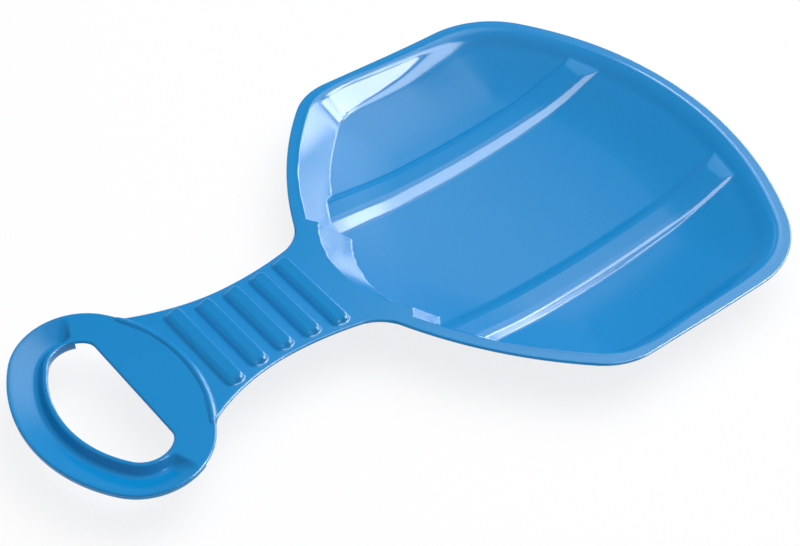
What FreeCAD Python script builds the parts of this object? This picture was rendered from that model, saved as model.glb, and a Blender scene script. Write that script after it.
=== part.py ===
import FreeCAD
import Part
import Sketcher
import math
import os

# Snow slider moulded from one sheet of plastic: a dished seat pan with a rolled rim and two
# runner ribs, a waisted neck with five grip ribs, and an oval handle with a hand hole.
# X runs across the sled, +Y from the handle to the rear of the seat, +Z up.
# The origin is on the ground under the middle of the part. Lengths are in millimetres.

DIMENSIONS = {
    # Sheet
    "wall": 2.5,
    # Deck: the surface that the handle, the neck and the rim lie in, seen from the side
    "deck_height": 46.4,
    "deck_bend_y": -160.0,
    "deck_bend_radius": 500.0,
    "deck_rear_bend_y": 120.0,
    "deck_rear_radius": 1200.0,
    # Outline of the seat, seen from above
    "seat_width": 340.0,
    "seat_rear_y": 273.3,
    "seat_rear_radius": 261.0,
    "seat_rear_corner": 68.7,
    "seat_shoulder_corner": 52.0,
    "seat_shoulder_radius": 319.0,
    "seat_root_width": 90.6,
    "seat_front_radius": 113.6,
    "seat_front_y": -54.4,
    # Rolled rim round the seat
    "rim_width": 9.0,
    "rim_roll": 6.0,
    # Bowl: its sloping wall runs between an outline above the rim and one below the floor,
    # and each size of these outlines is the seat's own, less the value given here
    "bowl_top_z": 54.0,
    "bowl_top_less_width": 3.5,
    "bowl_top_less_rear_radius": -0.1,
    "bowl_top_less_rear_corner": 3.7,
    "bowl_top_less_shoulder_corner": 3.0,
    "bowl_top_less_shoulder_radius": 29.0,
    "bowl_top_less_root_width": -8.6,
    "bowl_top_less_front_radius": -10.9,
    "bowl_top_less_front_y": 2.8,
    "bowl_foot_z": -16.0,
    "bowl_foot_less_width": 51.0,
    "bowl_foot_less_rear_radius": 27.9,
    "bowl_foot_less_rear_corner": 18.7,
    "bowl_foot_less_shoulder_corner": 18.0,
    "bowl_foot_less_shoulder_radius": -71.0,
    "bowl_foot_less_root_width": 1.3,
    "bowl_foot_less_front_radius": 1.6,
    "bowl_foot_less_front_y": -64.7,
    # Floor of the bowl: a long rocker with a slight crown across
    "floor_radius": 716.0,
    "floor_crown": 1600.0,
    "floor_low_y": 95.0,
    "floor_fillet": 4.0,
    "floor_sweep_angle": 34.0,
    # Runner ribs in the floor
    "runner_x": 74.0,
    "runner_base_width": 36.0,
    "runner_top_width": 17.0,
    "runner_height": 4.5,
    "runner_sink": 3.0,
    "runner_taper_shift": 6.0,
    "runner_front_y": 1.5,
    "runner_rear_y": 245.0,
    "runner_ramp": 19.0,
    "runner_edge": 2.5,
    # Neck
    "waist_width": 72.3,
    "waist_y": -109.9,
    "neck_front_radius": 147.0,
    "neck_rear_radius": 238.0,
    "neck_lap": 18.0,
    "neck_seat_fillet": 31.0,
    "neck_handle_fillet": 12.0,
    # Grip ribs across the neck
    "rib_first_y": -150.7,
    "rib_pitch": 20.5,
    "rib_width": 14.0,
    "rib_corner": 5.0,
    "rib_height": 3.0,
    "rib_edge": 2.4,
    "rib_margin": 4.0,
    # Handle
    "handle_centre_y": -218.2,
    "oval_width": 159.3,
    "oval_depth": 110.3,
    "oval_end_radius": 43.0,
    "grip_width": 23.0,
    "hole_rear": 17.5,
    "hole_corner": 10.0,
    "bead_inset": 1.8,
    "bead_radius": 2.4,
    "bead_height": 0.9,
    "bead_sweep_angle": 62.0,
    # Grip bar: a trough between an outer and an inner lip
    "grip_end": 12.5,
    "grip_depth": 9.0,
    "grip_outer_depth": 4.2,
    "grip_inner_depth": 6.0,
    "grip_keel": 7.0,
    "trough_depth": 6.5,
    "trough_outer_lip": 2.0,
    "trough_inner_lip": 5.2,
    "trough_floor": 3.0,
    "trough_wall_lean": 2.4,
    # Way from the middle of the rocker to the middle of the part, as it lies on the ground
    "rest_shift": 32.7,
    # Room that every cutting form has past what it cuts
    "overrun": 12.0,
    "base_depth": 60.0,
}

RIB_COUNT = 5
DECK_FALL_SHARE = 0.0553
REST_TILT_SHARE = 0.0479
RUNNER_SKEW_DEGREES = 22
RUNNER_FLANK_SHARE = 1.6
RUNNER_SKIN_SHARE = 0.3
SLOPE_SKIN_SHARE = 1.2
MIDDLE_SHARE = 0.5

doc = FreeCAD.newDocument("snow_slider")
dims = doc.addObject("Spreadsheet::Sheet", "dims")
for row, (alias, number) in enumerate(DIMENSIONS.items(), start=1):
    dims.set(f"A{row}", alias)
    dims.set(f"B{row}", str(number))
    dims.setAlias(f"B{row}", alias)
doc.recompute()


class Size:
    """A size of the part: the sheet expression that drives it and the value it has now."""

    def __init__(self, text, value):
        self.text = text
        self.value = value

    def __add__(self, other):
        return Size(f"({self.text} + {other.text})", self.value + other.value)

    def __sub__(self, other):
        return Size(f"({self.text} - {other.text})", self.value - other.value)

    def __mul__(self, share):
        return Size(f"({self.text} * {share})", self.value * share)

    def __neg__(self):
        return Size(f"(-{self.text})", -self.value)

    def half(self):
        return self * MIDDLE_SHARE

    def square(self):
        return Size(f"({self.text} * {self.text})", self.value * self.value)

    def times(self, other):
        return Size(f"({self.text} * {other.text})", self.value * other.value)

    def turn(self):
        """Angle in degrees whose tangent this is."""
        return Size(f"atan({self.text})", math.degrees(math.atan(self.value)))

    def over(self, other):
        return Size(f"({self.text} / {other.text})", self.value / other.value)

    def root(self):
        return Size(f"sqrt({self.text})", math.sqrt(self.value))


def size(alias):
    return Size(f"{dims.Name}.{alias}", float(dims.get(alias)))


NOTHING = Size("0", 0.0)
WALL = size("wall")
OVERRUN = size("overrun")


def bind(thing, prop, length):
    thing.setExpression(prop, length.text)


def new_sketch(body, role, name, lift=NOTHING):
    """Sketch on one of the body's own origin planes, lifted along that plane's normal."""
    sketch = body.newObject("Sketcher::SketchObject", name)
    plane = next(item for item in body.Origin.OriginFeatures if item.Role == role)
    sketch.AttachmentSupport = [(plane, "")]
    sketch.MapMode = "FlatFace"
    bind(sketch, "AttachmentOffset.Base.z", lift)
    return sketch


def point(x, y):
    return FreeCAD.Vector(x, y, 0)


def add_line(sketch, start, end):
    return sketch.addGeometry(Part.LineSegment(start, end), False)


def add_arc(sketch, centre, radius, start_angle, end_angle):
    circle = Part.Circle(centre, FreeCAD.Vector(0, 0, 1), radius)
    return sketch.addGeometry(Part.ArcOfCircle(circle, start_angle, end_angle), False)


def limit(sketch, kind, length, *places):
    """Dimension of a sketch that follows the sheet."""
    number = sketch.addConstraint(Sketcher.Constraint(kind, *places, length.value))
    bind(sketch, f"Constraints[{number}]", length)


def place_x(sketch, length, geometry, end):
    limit(sketch, "DistanceX", length, -1, 1, geometry, end)


def place_y(sketch, length, geometry, end):
    limit(sketch, "DistanceY", length, -1, 1, geometry, end)


def tie(sketch, *places):
    sketch.addConstraint(Sketcher.Constraint(*places))


def pad(body, sketch, length, symmetric=False):
    feature = body.newObject("PartDesign::Pad", "pad")
    feature.Profile = sketch
    bind(feature, "Length", length)
    if symmetric:
        feature.SideType = "Symmetric"
    return feature


def pocket(body, sketch, length, symmetric=False):
    feature = body.newObject("PartDesign::Pocket", "pocket")
    feature.Profile = sketch
    bind(feature, "Length", length)
    if symmetric:
        feature.SideType = "Symmetric"
    return feature


def round_edges(body, base, names, radius):
    feature = body.newObject("PartDesign::Fillet", "rounding")
    feature.Base = (base, names)
    bind(feature, "Radius", radius)
    return feature


def edge_names(shape, wanted):
    return [f"Edge{number}" for number, edge in enumerate(shape.Edges, start=1) if wanted(edge)]


# Outlines of the seat

OUTLINE_NAMES = ("width", "rear_radius", "rear_corner", "shoulder_corner",
                 "shoulder_radius", "root_width", "front_radius", "front_y")


def seat_outline():
    return {name: size(f"seat_{name}") for name in OUTLINE_NAMES}


def bowl_outline(level):
    """Sizes of one of the bowl's outlines, which follow the seat's own."""
    return {name: length - size(f"{level}_less_{name}") for name, length in seat_outline().items()}


def grown(outline, by):
    """The same outline, moved outwards all round by one distance."""
    root_growth = (by + by) * (outline["root_width"].value / outline["front_radius"].value / 2)
    return {
        "width": outline["width"] + by + by,
        "rear_radius": outline["rear_radius"] + by,
        "rear_corner": outline["rear_corner"] + by,
        "shoulder_corner": outline["shoulder_corner"] + by,
        "shoulder_radius": outline["shoulder_radius"] + by,
        "root_width": outline["root_width"] + root_growth,
        "front_radius": outline["front_radius"] + by,
        "front_y": outline["front_y"] - by,
    }


REAR_CENTRE_Y = size("seat_rear_y") - size("seat_rear_radius")


def blend_centre(big_centre, big_radius, side_x, corner_radius, turn):
    """Centre of the corner arc inside a big arc and beside the straight side."""
    x = side_x - corner_radius
    reach = big_radius - corner_radius
    y = big_centre.y + turn * math.sqrt(reach ** 2 - (x - big_centre.x) ** 2)
    return point(x, y)


def angle_to(origin, target):
    return math.atan2(target.y - origin.y, target.x - origin.x)


def draw_seat_outline(sketch, outline):
    """Ten tangent stretches: front arc, shoulders, corners, straight sides and rear arc."""
    now = {name: length.value for name, length in outline.items()}
    side_x = now["width"] / 2
    front_centre = point(0, now["front_y"] + now["front_radius"])
    root_turn = math.asin(now["root_width"] / 2 / now["front_radius"])
    root_angle = root_turn - math.pi / 2
    across = now["front_radius"] - now["shoulder_radius"]
    shoulder_centre = front_centre + point(across * math.cos(root_angle), across * math.sin(root_angle))
    rear_centre = point(0, REAR_CENTRE_Y.value)
    shoulder_blend = blend_centre(shoulder_centre, now["shoulder_radius"], side_x, now["shoulder_corner"], -1)
    rear_blend = blend_centre(rear_centre, now["rear_radius"], side_x, now["rear_corner"], 1)
    shoulder_angle = angle_to(shoulder_centre, shoulder_blend)
    rear_angle = angle_to(rear_centre, rear_blend)
    half_turn = math.pi
    front = add_arc(sketch, front_centre, now["front_radius"], -half_turn - root_angle, root_angle)
    shoulder = add_arc(sketch, shoulder_centre, now["shoulder_radius"], root_angle, shoulder_angle)
    corner = add_arc(sketch, shoulder_blend, now["shoulder_corner"], shoulder_angle, 0)
    side = add_line(sketch, point(side_x, shoulder_blend.y), point(side_x, rear_blend.y))
    rear_corner = add_arc(sketch, rear_blend, now["rear_corner"], 0, rear_angle)
    rear = add_arc(sketch, rear_centre, now["rear_radius"], rear_angle, half_turn - rear_angle)
    left_rear = point(-rear_blend.x, rear_blend.y)
    left_blend = point(-shoulder_blend.x, shoulder_blend.y)
    left_shoulder = point(-shoulder_centre.x, shoulder_centre.y)
    rear_corner_left = add_arc(sketch, left_rear, now["rear_corner"], half_turn - rear_angle, half_turn)
    side_left = add_line(sketch, point(-side_x, rear_blend.y), point(-side_x, shoulder_blend.y))
    corner_left = add_arc(sketch, left_blend, now["shoulder_corner"], half_turn, half_turn - shoulder_angle)
    shoulder_left = add_arc(sketch, left_shoulder, now["shoulder_radius"],
                            half_turn - shoulder_angle, half_turn - root_angle)
    chain = [front, shoulder, corner, side, rear_corner, rear,
             rear_corner_left, side_left, corner_left, shoulder_left]
    for before, after in zip(chain, chain[1:] + chain[:1]):
        tie(sketch, "Tangent", before, 2, after, 1)
    for arc in (front, rear):
        tie(sketch, "PointOnObject", arc, 3, -2)
    for arc, name in ((front, "front_radius"), (shoulder, "shoulder_radius"), (corner, "shoulder_corner"),
                      (rear_corner, "rear_corner"), (rear, "rear_radius"),
                      (rear_corner_left, "rear_corner"), (corner_left, "shoulder_corner"),
                      (shoulder_left, "shoulder_radius")):
        limit(sketch, "Radius", outline[name], arc)
    tie(sketch, "Vertical", side)
    tie(sketch, "Vertical", side_left)
    place_x(sketch, outline["width"].half(), side, 1)
    place_x(sketch, -outline["width"].half(), side_left, 1)
    place_x(sketch, outline["root_width"].half(), front, 2)
    place_x(sketch, -outline["root_width"].half(), front, 1)
    place_y(sketch, outline["front_y"] + outline["front_radius"], front, 3)
    place_y(sketch, REAR_CENTRE_Y, rear, 3)


# Handle oval: two end arcs and two long arcs

OVAL_HALF_WIDTH = size("oval_width").half()
OVAL_HALF_DEPTH = size("oval_depth").half()
OVAL_END_X = OVAL_HALF_WIDTH - size("oval_end_radius")
OVAL_RISE = OVAL_HALF_DEPTH - size("oval_end_radius")
OVAL_LONG_OFFSET = (OVAL_END_X.square() - OVAL_RISE.square()).over(OVAL_RISE + OVAL_RISE)
OVAL_LONG_RADIUS = OVAL_HALF_DEPTH + OVAL_LONG_OFFSET
HANDLE_Y = size("handle_centre_y")


def oval_joint_angle():
    """Direction from a long arc's centre to the joint with an end arc, off the Y axis."""
    return math.atan2(OVAL_END_X.value, OVAL_LONG_OFFSET.value)


def draw_oval(sketch, inset):
    lean = oval_joint_angle()
    quarter = math.pi / 2
    end_radius = size("oval_end_radius") - inset
    long_radius = OVAL_LONG_RADIUS - inset
    right = point(OVAL_END_X.value, HANDLE_Y.value)
    left = point(-OVAL_END_X.value, HANDLE_Y.value)
    front_centre = point(0, HANDLE_Y.value + OVAL_LONG_OFFSET.value)
    rear_centre = point(0, HANDLE_Y.value - OVAL_LONG_OFFSET.value)
    front = add_arc(sketch, front_centre, long_radius.value, -quarter - lean, -quarter + lean)
    end_right = add_arc(sketch, right, end_radius.value, -quarter + lean, quarter - lean)
    rear = add_arc(sketch, rear_centre, long_radius.value, quarter - lean, quarter + lean)
    end_left = add_arc(sketch, left, end_radius.value, quarter + lean, -quarter - lean)
    chain = [front, end_right, rear, end_left]
    for before, after in zip(chain, chain[1:] + chain[:1]):
        tie(sketch, "Tangent", before, 2, after, 1)
    place_x(sketch, OVAL_END_X, end_right, 3)
    place_y(sketch, HANDLE_Y, end_right, 3)
    place_x(sketch, -OVAL_END_X, end_left, 3)
    place_y(sketch, HANDLE_Y, end_left, 3)
    limit(sketch, "Radius", end_radius, end_right)
    limit(sketch, "Radius", long_radius, front)
    limit(sketch, "Radius", long_radius, rear)


def draw_hand_hole(sketch):
    """Inner oval of the grip, cut off by a straight side towards the seat, with round corners."""
    lean = oval_joint_angle()
    quarter = math.pi / 2
    inset = size("grip_width")
    end_radius = size("oval_end_radius") - inset
    long_radius = OVAL_LONG_RADIUS - inset
    corner = size("hole_corner")
    rear_y = HANDLE_Y + size("hole_rear")
    right = point(OVAL_END_X.value, HANDLE_Y.value)
    front_centre = point(0, HANDLE_Y.value + OVAL_LONG_OFFSET.value)
    drop = size("hole_rear").value - corner.value
    reach = end_radius.value - corner.value
    corner_centre = right + point(math.sqrt(reach ** 2 - drop ** 2), drop)
    corner_angle = angle_to(right, corner_centre)
    left = point(-right.x, right.y)
    corner_left_centre = point(-corner_centre.x, corner_centre.y)
    front = add_arc(sketch, front_centre, long_radius.value, -quarter - lean, -quarter + lean)
    end_right = add_arc(sketch, right, end_radius.value, -quarter + lean, corner_angle)
    corner_right = add_arc(sketch, corner_centre, corner.value, corner_angle, quarter)
    straight = add_line(sketch, point(corner_centre.x, rear_y.value), point(-corner_centre.x, rear_y.value))
    corner_left = add_arc(sketch, corner_left_centre, corner.value, quarter, math.pi - corner_angle)
    end_left = add_arc(sketch, left, end_radius.value, math.pi - corner_angle, -quarter - lean)
    chain = [front, end_right, corner_right, straight, corner_left, end_left]
    for before, after in zip(chain, chain[1:] + chain[:1]):
        tie(sketch, "Tangent", before, 2, after, 1)
    place_x(sketch, OVAL_END_X, end_right, 3)
    place_y(sketch, HANDLE_Y, end_right, 3)
    place_x(sketch, -OVAL_END_X, end_left, 3)
    place_y(sketch, HANDLE_Y, end_left, 3)
    limit(sketch, "Radius", end_radius, end_right)
    limit(sketch, "Radius", long_radius, front)
    limit(sketch, "Radius", corner, corner_right)
    limit(sketch, "Radius", corner, corner_left)
    place_y(sketch, rear_y, straight, 1)


# Neck: two tangent arcs on each side, with their centres level with the waist

def draw_neck(sketch):
    half_waist = size("waist_width").half()
    waist = size("waist_y")
    front_radius = size("neck_front_radius")
    rear_radius = size("neck_rear_radius")
    front_y = HANDLE_Y + size("neck_lap")
    rear_y = size("seat_front_y") + size("neck_lap")
    front_turn = math.asin((waist.value - front_y.value) / front_radius.value)
    rear_turn = math.asin((rear_y.value - waist.value) / rear_radius.value)
    front_centre = point(half_waist.value + front_radius.value, waist.value)
    rear_centre = point(half_waist.value + rear_radius.value, waist.value)
    half_turn = math.pi
    front_x = front_centre.x - front_radius.value * math.cos(front_turn)
    rear_x = rear_centre.x - rear_radius.value * math.cos(rear_turn)
    front_edge = add_line(sketch, point(-front_x, front_y.value), point(front_x, front_y.value))
    front_right = add_arc(sketch, front_centre, front_radius.value, half_turn, half_turn + front_turn)
    rear_right = add_arc(sketch, rear_centre, rear_radius.value, half_turn - rear_turn, half_turn)
    rear_edge = add_line(sketch, point(rear_x, rear_y.value), point(-rear_x, rear_y.value))
    rear_left = add_arc(sketch, point(-rear_centre.x, waist.value), rear_radius.value, 0, rear_turn)
    front_left = add_arc(sketch, point(-front_centre.x, waist.value), front_radius.value, -front_turn, 0)
    tie(sketch, "Coincident", front_edge, 2, front_right, 2)
    tie(sketch, "Tangent", front_right, 1, rear_right, 2)
    tie(sketch, "Coincident", rear_right, 1, rear_edge, 1)
    tie(sketch, "Coincident", rear_edge, 2, rear_left, 2)
    tie(sketch, "Tangent", rear_left, 1, front_left, 2)
    tie(sketch, "Coincident", front_left, 1, front_edge, 1)
    for front_arc, waist_end, rear_arc, side in ((front_right, 1, rear_right, 1), (front_left, 2, rear_left, -1)):
        limit(sketch, "Radius", front_radius, front_arc)
        limit(sketch, "Radius", rear_radius, rear_arc)
        place_x(sketch, (half_waist + front_radius) * side, front_arc, 3)
        place_y(sketch, waist, front_arc, 3)
        place_y(sketch, waist, front_arc, waist_end)
    tie(sketch, "Horizontal", front_edge)
    tie(sketch, "Horizontal", rear_edge)
    place_y(sketch, front_y, front_edge, 1)
    place_y(sketch, rear_y, rear_edge, 1)


# Whole outline of the sheet, as a tall prism

PRISM_FOOT = -size("base_depth")
PRISM_HEIGHT = size("base_depth") + size("base_depth") + size("deck_height")


def prism(name, draw):
    body = doc.addObject("PartDesign::Body", name)
    sketch = new_sketch(body, "XY_Plane", f"{name}_outline", PRISM_FOOT)
    draw(sketch)
    pad(body, sketch, PRISM_HEIGHT)
    return body


def upright_edges(shape, near_y, far_y):
    """Names of the upright concave edges between two places along the sled."""
    def wanted(edge):
        first, last = edge.Vertexes[0].Point, edge.Vertexes[-1].Point
        upright = abs(last.z - first.z) > PRISM_HEIGHT.value * MIDDLE_SHARE
        return upright and near_y < first.y < far_y and abs(first.x) < size("seat_root_width").value
    return edge_names(shape, wanted)


def whole_outline():
    body = doc.addObject("PartDesign::Body", "whole_outline")
    outline = seat_outline()
    seat_sketch = new_sketch(body, "XY_Plane", "seat_sketch", PRISM_FOOT)
    draw_seat_outline(seat_sketch, outline)
    pad(body, seat_sketch, PRISM_HEIGHT)
    neck_sketch = new_sketch(body, "XY_Plane", "neck_sketch", PRISM_FOOT)
    draw_neck(neck_sketch)
    pad(body, neck_sketch, PRISM_HEIGHT)
    oval_sketch = new_sketch(body, "XY_Plane", "oval_sketch", PRISM_FOOT)
    draw_oval(oval_sketch, NOTHING)
    joined = pad(body, oval_sketch, PRISM_HEIGHT)
    doc.recompute()
    seat_corners = upright_edges(joined.Shape, size("waist_y").value, 0)
    at_seat = round_edges(body, joined, seat_corners, size("neck_seat_fillet"))
    doc.recompute()
    handle_corners = upright_edges(at_seat.Shape, HANDLE_Y.value, size("rib_first_y").value)
    at_handle = round_edges(body, at_seat, handle_corners, size("neck_handle_fillet"))
    hole_sketch = new_sketch(body, "XY_Plane", "hole_sketch", PRISM_FOOT + PRISM_HEIGHT)
    draw_hand_hole(hole_sketch)
    pocket(body, hole_sketch, PRISM_HEIGHT)
    doc.recompute()
    return body


# Deck seen from the side

DECK_TOP = size("deck_height")
DECK_FRONT_Y = HANDLE_Y - OVAL_HALF_DEPTH - OVERRUN
DECK_REAR_Y = size("seat_rear_y") + OVERRUN


def deck_height_at(y):
    """Height of the falling part of the deck at one place along the sled."""
    return DECK_TOP - (y - size("deck_bend_y")) * DECK_FALL_SHARE


def draw_deck(sketch, skin):
    """Level at the handle, falling along the neck and the seat, rising again at the rear."""
    top = DECK_TOP - skin
    foot = -size("base_depth")
    bend_radius = size("deck_bend_radius")
    rear_radius = size("deck_rear_radius")
    rear_bend_y = size("deck_rear_bend_y")
    rear_bend_z = deck_height_at(rear_bend_y) - skin
    fall = math.atan(DECK_FALL_SHARE)
    bend_reach = bend_radius * math.tan(fall / 2)
    level_end = size("deck_bend_y") - bend_reach
    quarter = math.pi / 2
    bend_centre = point(level_end.value, top.value - bend_radius.value)
    bend_end = bend_centre + point(bend_radius.value * math.sin(fall), bend_radius.value * math.cos(fall))
    rear_start = point(rear_bend_y.value, rear_bend_z.value)
    rear_centre = rear_start + point(rear_radius.value * math.sin(fall), rear_radius.value * math.cos(fall))
    rear_turn = math.asin((DECK_REAR_Y.value - rear_centre.x) / rear_radius.value)
    rear_end_z = rear_centre.y - rear_radius.value * math.cos(rear_turn)
    front_top = point(DECK_FRONT_Y.value, top.value)
    front_foot = point(DECK_FRONT_Y.value, foot.value)
    rear_foot = point(DECK_REAR_Y.value, foot.value)
    level = add_line(sketch, front_top, point(level_end.value, top.value))
    bend = add_arc(sketch, bend_centre, bend_radius.value, quarter - fall, quarter)
    slope = add_line(sketch, bend_end, rear_start)
    rear = add_arc(sketch, rear_centre, rear_radius.value, -quarter - fall, -quarter + rear_turn)
    back = add_line(sketch, point(DECK_REAR_Y.value, rear_end_z), rear_foot)
    base = add_line(sketch, rear_foot, front_foot)
    front = add_line(sketch, front_foot, front_top)
    tie(sketch, "Tangent", level, 2, bend, 2)
    tie(sketch, "Tangent", bend, 1, slope, 1)
    tie(sketch, "Tangent", slope, 2, rear, 1)
    tie(sketch, "Coincident", rear, 2, back, 1)
    tie(sketch, "Coincident", back, 2, base, 1)
    tie(sketch, "Coincident", base, 2, front, 1)
    tie(sketch, "Coincident", front, 2, level, 1)
    for edge in (level, base):
        tie(sketch, "Horizontal", edge)
    for edge in (back, front):
        tie(sketch, "Vertical", edge)
    place_x(sketch, DECK_FRONT_Y, level, 1)
    place_y(sketch, top, level, 1)
    place_x(sketch, level_end, level, 2)
    limit(sketch, "Radius", bend_radius, bend)
    place_x(sketch, rear_bend_y, slope, 2)
    place_y(sketch, rear_bend_z, slope, 2)
    limit(sketch, "Radius", rear_radius, rear)
    place_x(sketch, DECK_REAR_Y, rear, 2)
    place_y(sketch, foot, base, 1)


# Floor of the bowl, turned about an axis high above the seat

FLOOR_AXIS_Z = WALL + size("floor_radius")
RUNNER_SAG = size("runner_x").square().over(size("floor_crown") + size("floor_crown"))


def rocker_sketch(body, name, shift=NOTHING):
    """Sketch across the sled whose horizontal axis is the axis of the rocker."""
    sketch = new_sketch(body, "XZ_Plane", name, -(size("floor_low_y") + shift))
    bind(sketch, "AttachmentOffset.Base.y", FLOOR_AXIS_Z)
    return sketch


def rocker_turn(body, sketch):
    feature = body.newObject("PartDesign::Revolution", "rocker")
    feature.Profile = sketch
    feature.ReferenceAxis = (sketch, ["H_Axis"])
    feature.Midplane = True
    bind(feature, "Angle", size("floor_sweep_angle"))
    return feature


def draw_polygon(sketch, corners):
    """Closed outline through corners given as pairs of sizes."""
    spots = [point(x.value, y.value) for x, y in corners]
    lines = [add_line(sketch, start, end) for start, end in zip(spots, spots[1:] + spots[:1])]
    for before, after in zip(lines, lines[1:] + lines[:1]):
        tie(sketch, "Coincident", before, 2, after, 1)
    for line, (x, y) in zip(lines, corners):
        place_x(sketch, x, line, 1)
        place_y(sketch, y, line, 1)


def draw_floor(sketch, skin):
    radius = size("floor_radius") + skin
    crown = size("floor_crown") + skin
    half_width = size("seat_width").half() + OVERRUN
    foot = -(size("floor_radius") + size("base_depth"))
    centre_y = crown - radius
    spread = math.asin(half_width.value / crown.value)
    quarter = math.pi / 2
    edge_y = centre_y.value - crown.value * math.cos(spread)
    top = add_arc(sketch, point(0, centre_y.value), crown.value, -quarter - spread, -quarter + spread)
    right = add_line(sketch, point(half_width.value, edge_y), point(half_width.value, foot.value))
    base = add_line(sketch, point(half_width.value, foot.value), point(-half_width.value, foot.value))
    left = add_line(sketch, point(-half_width.value, foot.value), point(-half_width.value, edge_y))
    tie(sketch, "Coincident", top, 2, right, 1)
    tie(sketch, "Coincident", right, 2, base, 1)
    tie(sketch, "Coincident", base, 2, left, 1)
    tie(sketch, "Coincident", left, 2, top, 1)
    tie(sketch, "PointOnObject", top, 3, -2)
    limit(sketch, "Radius", crown, top)
    place_y(sketch, centre_y, top, 3)
    place_x(sketch, half_width, top, 2)
    place_x(sketch, -half_width, top, 1)
    tie(sketch, "Vertical", right)
    tie(sketch, "Vertical", left)
    tie(sketch, "Horizontal", base)
    place_y(sketch, foot, base, 1)


# Upper face and underside of the sheet, each as a block that ends in that face

def floor_face(shape):
    turned = [face for face in shape.Faces if isinstance(face.Surface, (Part.Toroid, Part.SurfaceOfRevolution))]
    return max(turned, key=lambda face: face.Area)


def face_block(name, skin):
    body = doc.addObject("PartDesign::Body", name)
    deck_sketch = new_sketch(body, "YZ_Plane", f"{name}_deck")
    draw_deck(deck_sketch, skin)
    pad(body, deck_sketch, size("seat_width") + OVERRUN + OVERRUN, symmetric=True)
    growth = skin * SLOPE_SKIN_SHARE
    sections = []
    for level in ("bowl_top", "bowl_foot"):
        sketch = new_sketch(body, "XY_Plane", f"{name}_{level}", size(f"{level}_z"))
        draw_seat_outline(sketch, grown(bowl_outline(level), growth))
        sections.append(sketch)
    bowl = body.newObject("PartDesign::SubtractiveLoft", "bowl")
    bowl.Profile = sections[0]
    bowl.Sections = sections[1:]
    bowl.Ruled = True
    floor_sketch = rocker_sketch(body, f"{name}_floor")
    draw_floor(floor_sketch, skin)
    floor = rocker_turn(body, floor_sketch)
    doc.recompute()
    shape = floor.Shape
    creases = floor_face(shape).OuterWire.Edges
    walls = [face for face in shape.Faces
             if any(edge.isSame(crease) for edge in face.Edges for crease in creases)]
    walls = [face for face in walls if not face.isSame(floor_face(shape))]

    def at_rim(edge):
        touching = [face for face in walls if any(edge.isSame(other) for other in face.Edges)]
        return len(touching) == 1 and not any(edge.isSame(crease) for crease in creases)

    rim_edges = edge_names(shape, at_rim)
    rim = round_edges(body, floor, rim_edges, size("rim_roll") - skin)
    doc.recompute()
    creases = floor_face(rim.Shape).OuterWire.Edges
    crease_edges = edge_names(rim.Shape, lambda edge: any(edge.isSame(crease) for crease in creases))
    round_edges(body, rim, crease_edges, size("floor_fillet") + skin)
    doc.recompute()
    return body


# Runner ribs: raised beads that follow the rocker, grow lower towards the rear and ramp down there

SIDES = {"left": -1, "right": 1}
RUNNER_REACH = size("runner_rear_y") - size("floor_low_y")


def runner_block(name, side, skin):
    body = doc.addObject("PartDesign::Body", name)
    radius = size("floor_radius") + skin
    middle = size("runner_x") * side
    top_half = size("runner_top_width").half() - skin * RUNNER_SKIN_SHARE
    base_half = top_half + (size("runner_height") + size("runner_sink")) * RUNNER_FLANK_SHARE
    top_y = RUNNER_SAG - radius + size("runner_height")
    base_y = RUNNER_SAG - radius - size("runner_sink")
    deep_y = base_y - OVERRUN
    sketch = rocker_sketch(body, f"{name}_section", size("runner_taper_shift"))
    draw_polygon(sketch, [
        (middle - top_half, top_y), (middle + top_half, top_y), (middle + base_half, base_y),
        (middle + base_half, deep_y), (middle - base_half, deep_y), (middle - base_half, base_y)])
    bead = rocker_turn(body, sketch)
    doc.recompute()
    if skin is NOTHING:
        crest = -top_y.value
        crest_edges = edge_names(bead.Shape, lambda edge: isinstance(edge.Curve, Part.Circle)
                                 and abs(edge.Curve.Radius - crest) < size("runner_edge").value / 2)
        round_edges(body, bead, crest_edges, size("runner_edge"))
    foot_z = FLOOR_AXIS_Z - (radius.square() - RUNNER_REACH.square()).root() + RUNNER_SAG
    ramp_top = size("runner_height") - size("runner_ramp").times(RUNNER_REACH.over(radius))
    wedge = new_sketch(body, "YZ_Plane", f"{name}_ramp", middle)
    bind(wedge, "AttachmentOffset.Base.x", size("runner_rear_y"))
    bind(wedge, "AttachmentOffset.Base.y", foot_z)
    wedge.AttachmentOffset.Rotation = FreeCAD.Rotation(FreeCAD.Vector(0, 1, 0), RUNNER_SKEW_DEGREES * side)
    far = size("base_depth") + size("base_depth")
    draw_polygon(wedge, [
        (NOTHING, NOTHING), (NOTHING, -far), (far, -far), (far, far),
        (-size("runner_ramp"), far), (-size("runner_ramp"), ramp_top)])
    pocket(body, wedge, far, symmetric=True)
    doc.recompute()
    return body


# Grip ribs: round-ended bars across the neck, each as long as the neck is wide there

def neck_half_width(y):
    radius = size("neck_front_radius") if y.value < size("waist_y").value else size("neck_rear_radius")
    reach = y - size("waist_y")
    return size("waist_width").half() + radius - (radius.square() - reach.square()).root()


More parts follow.
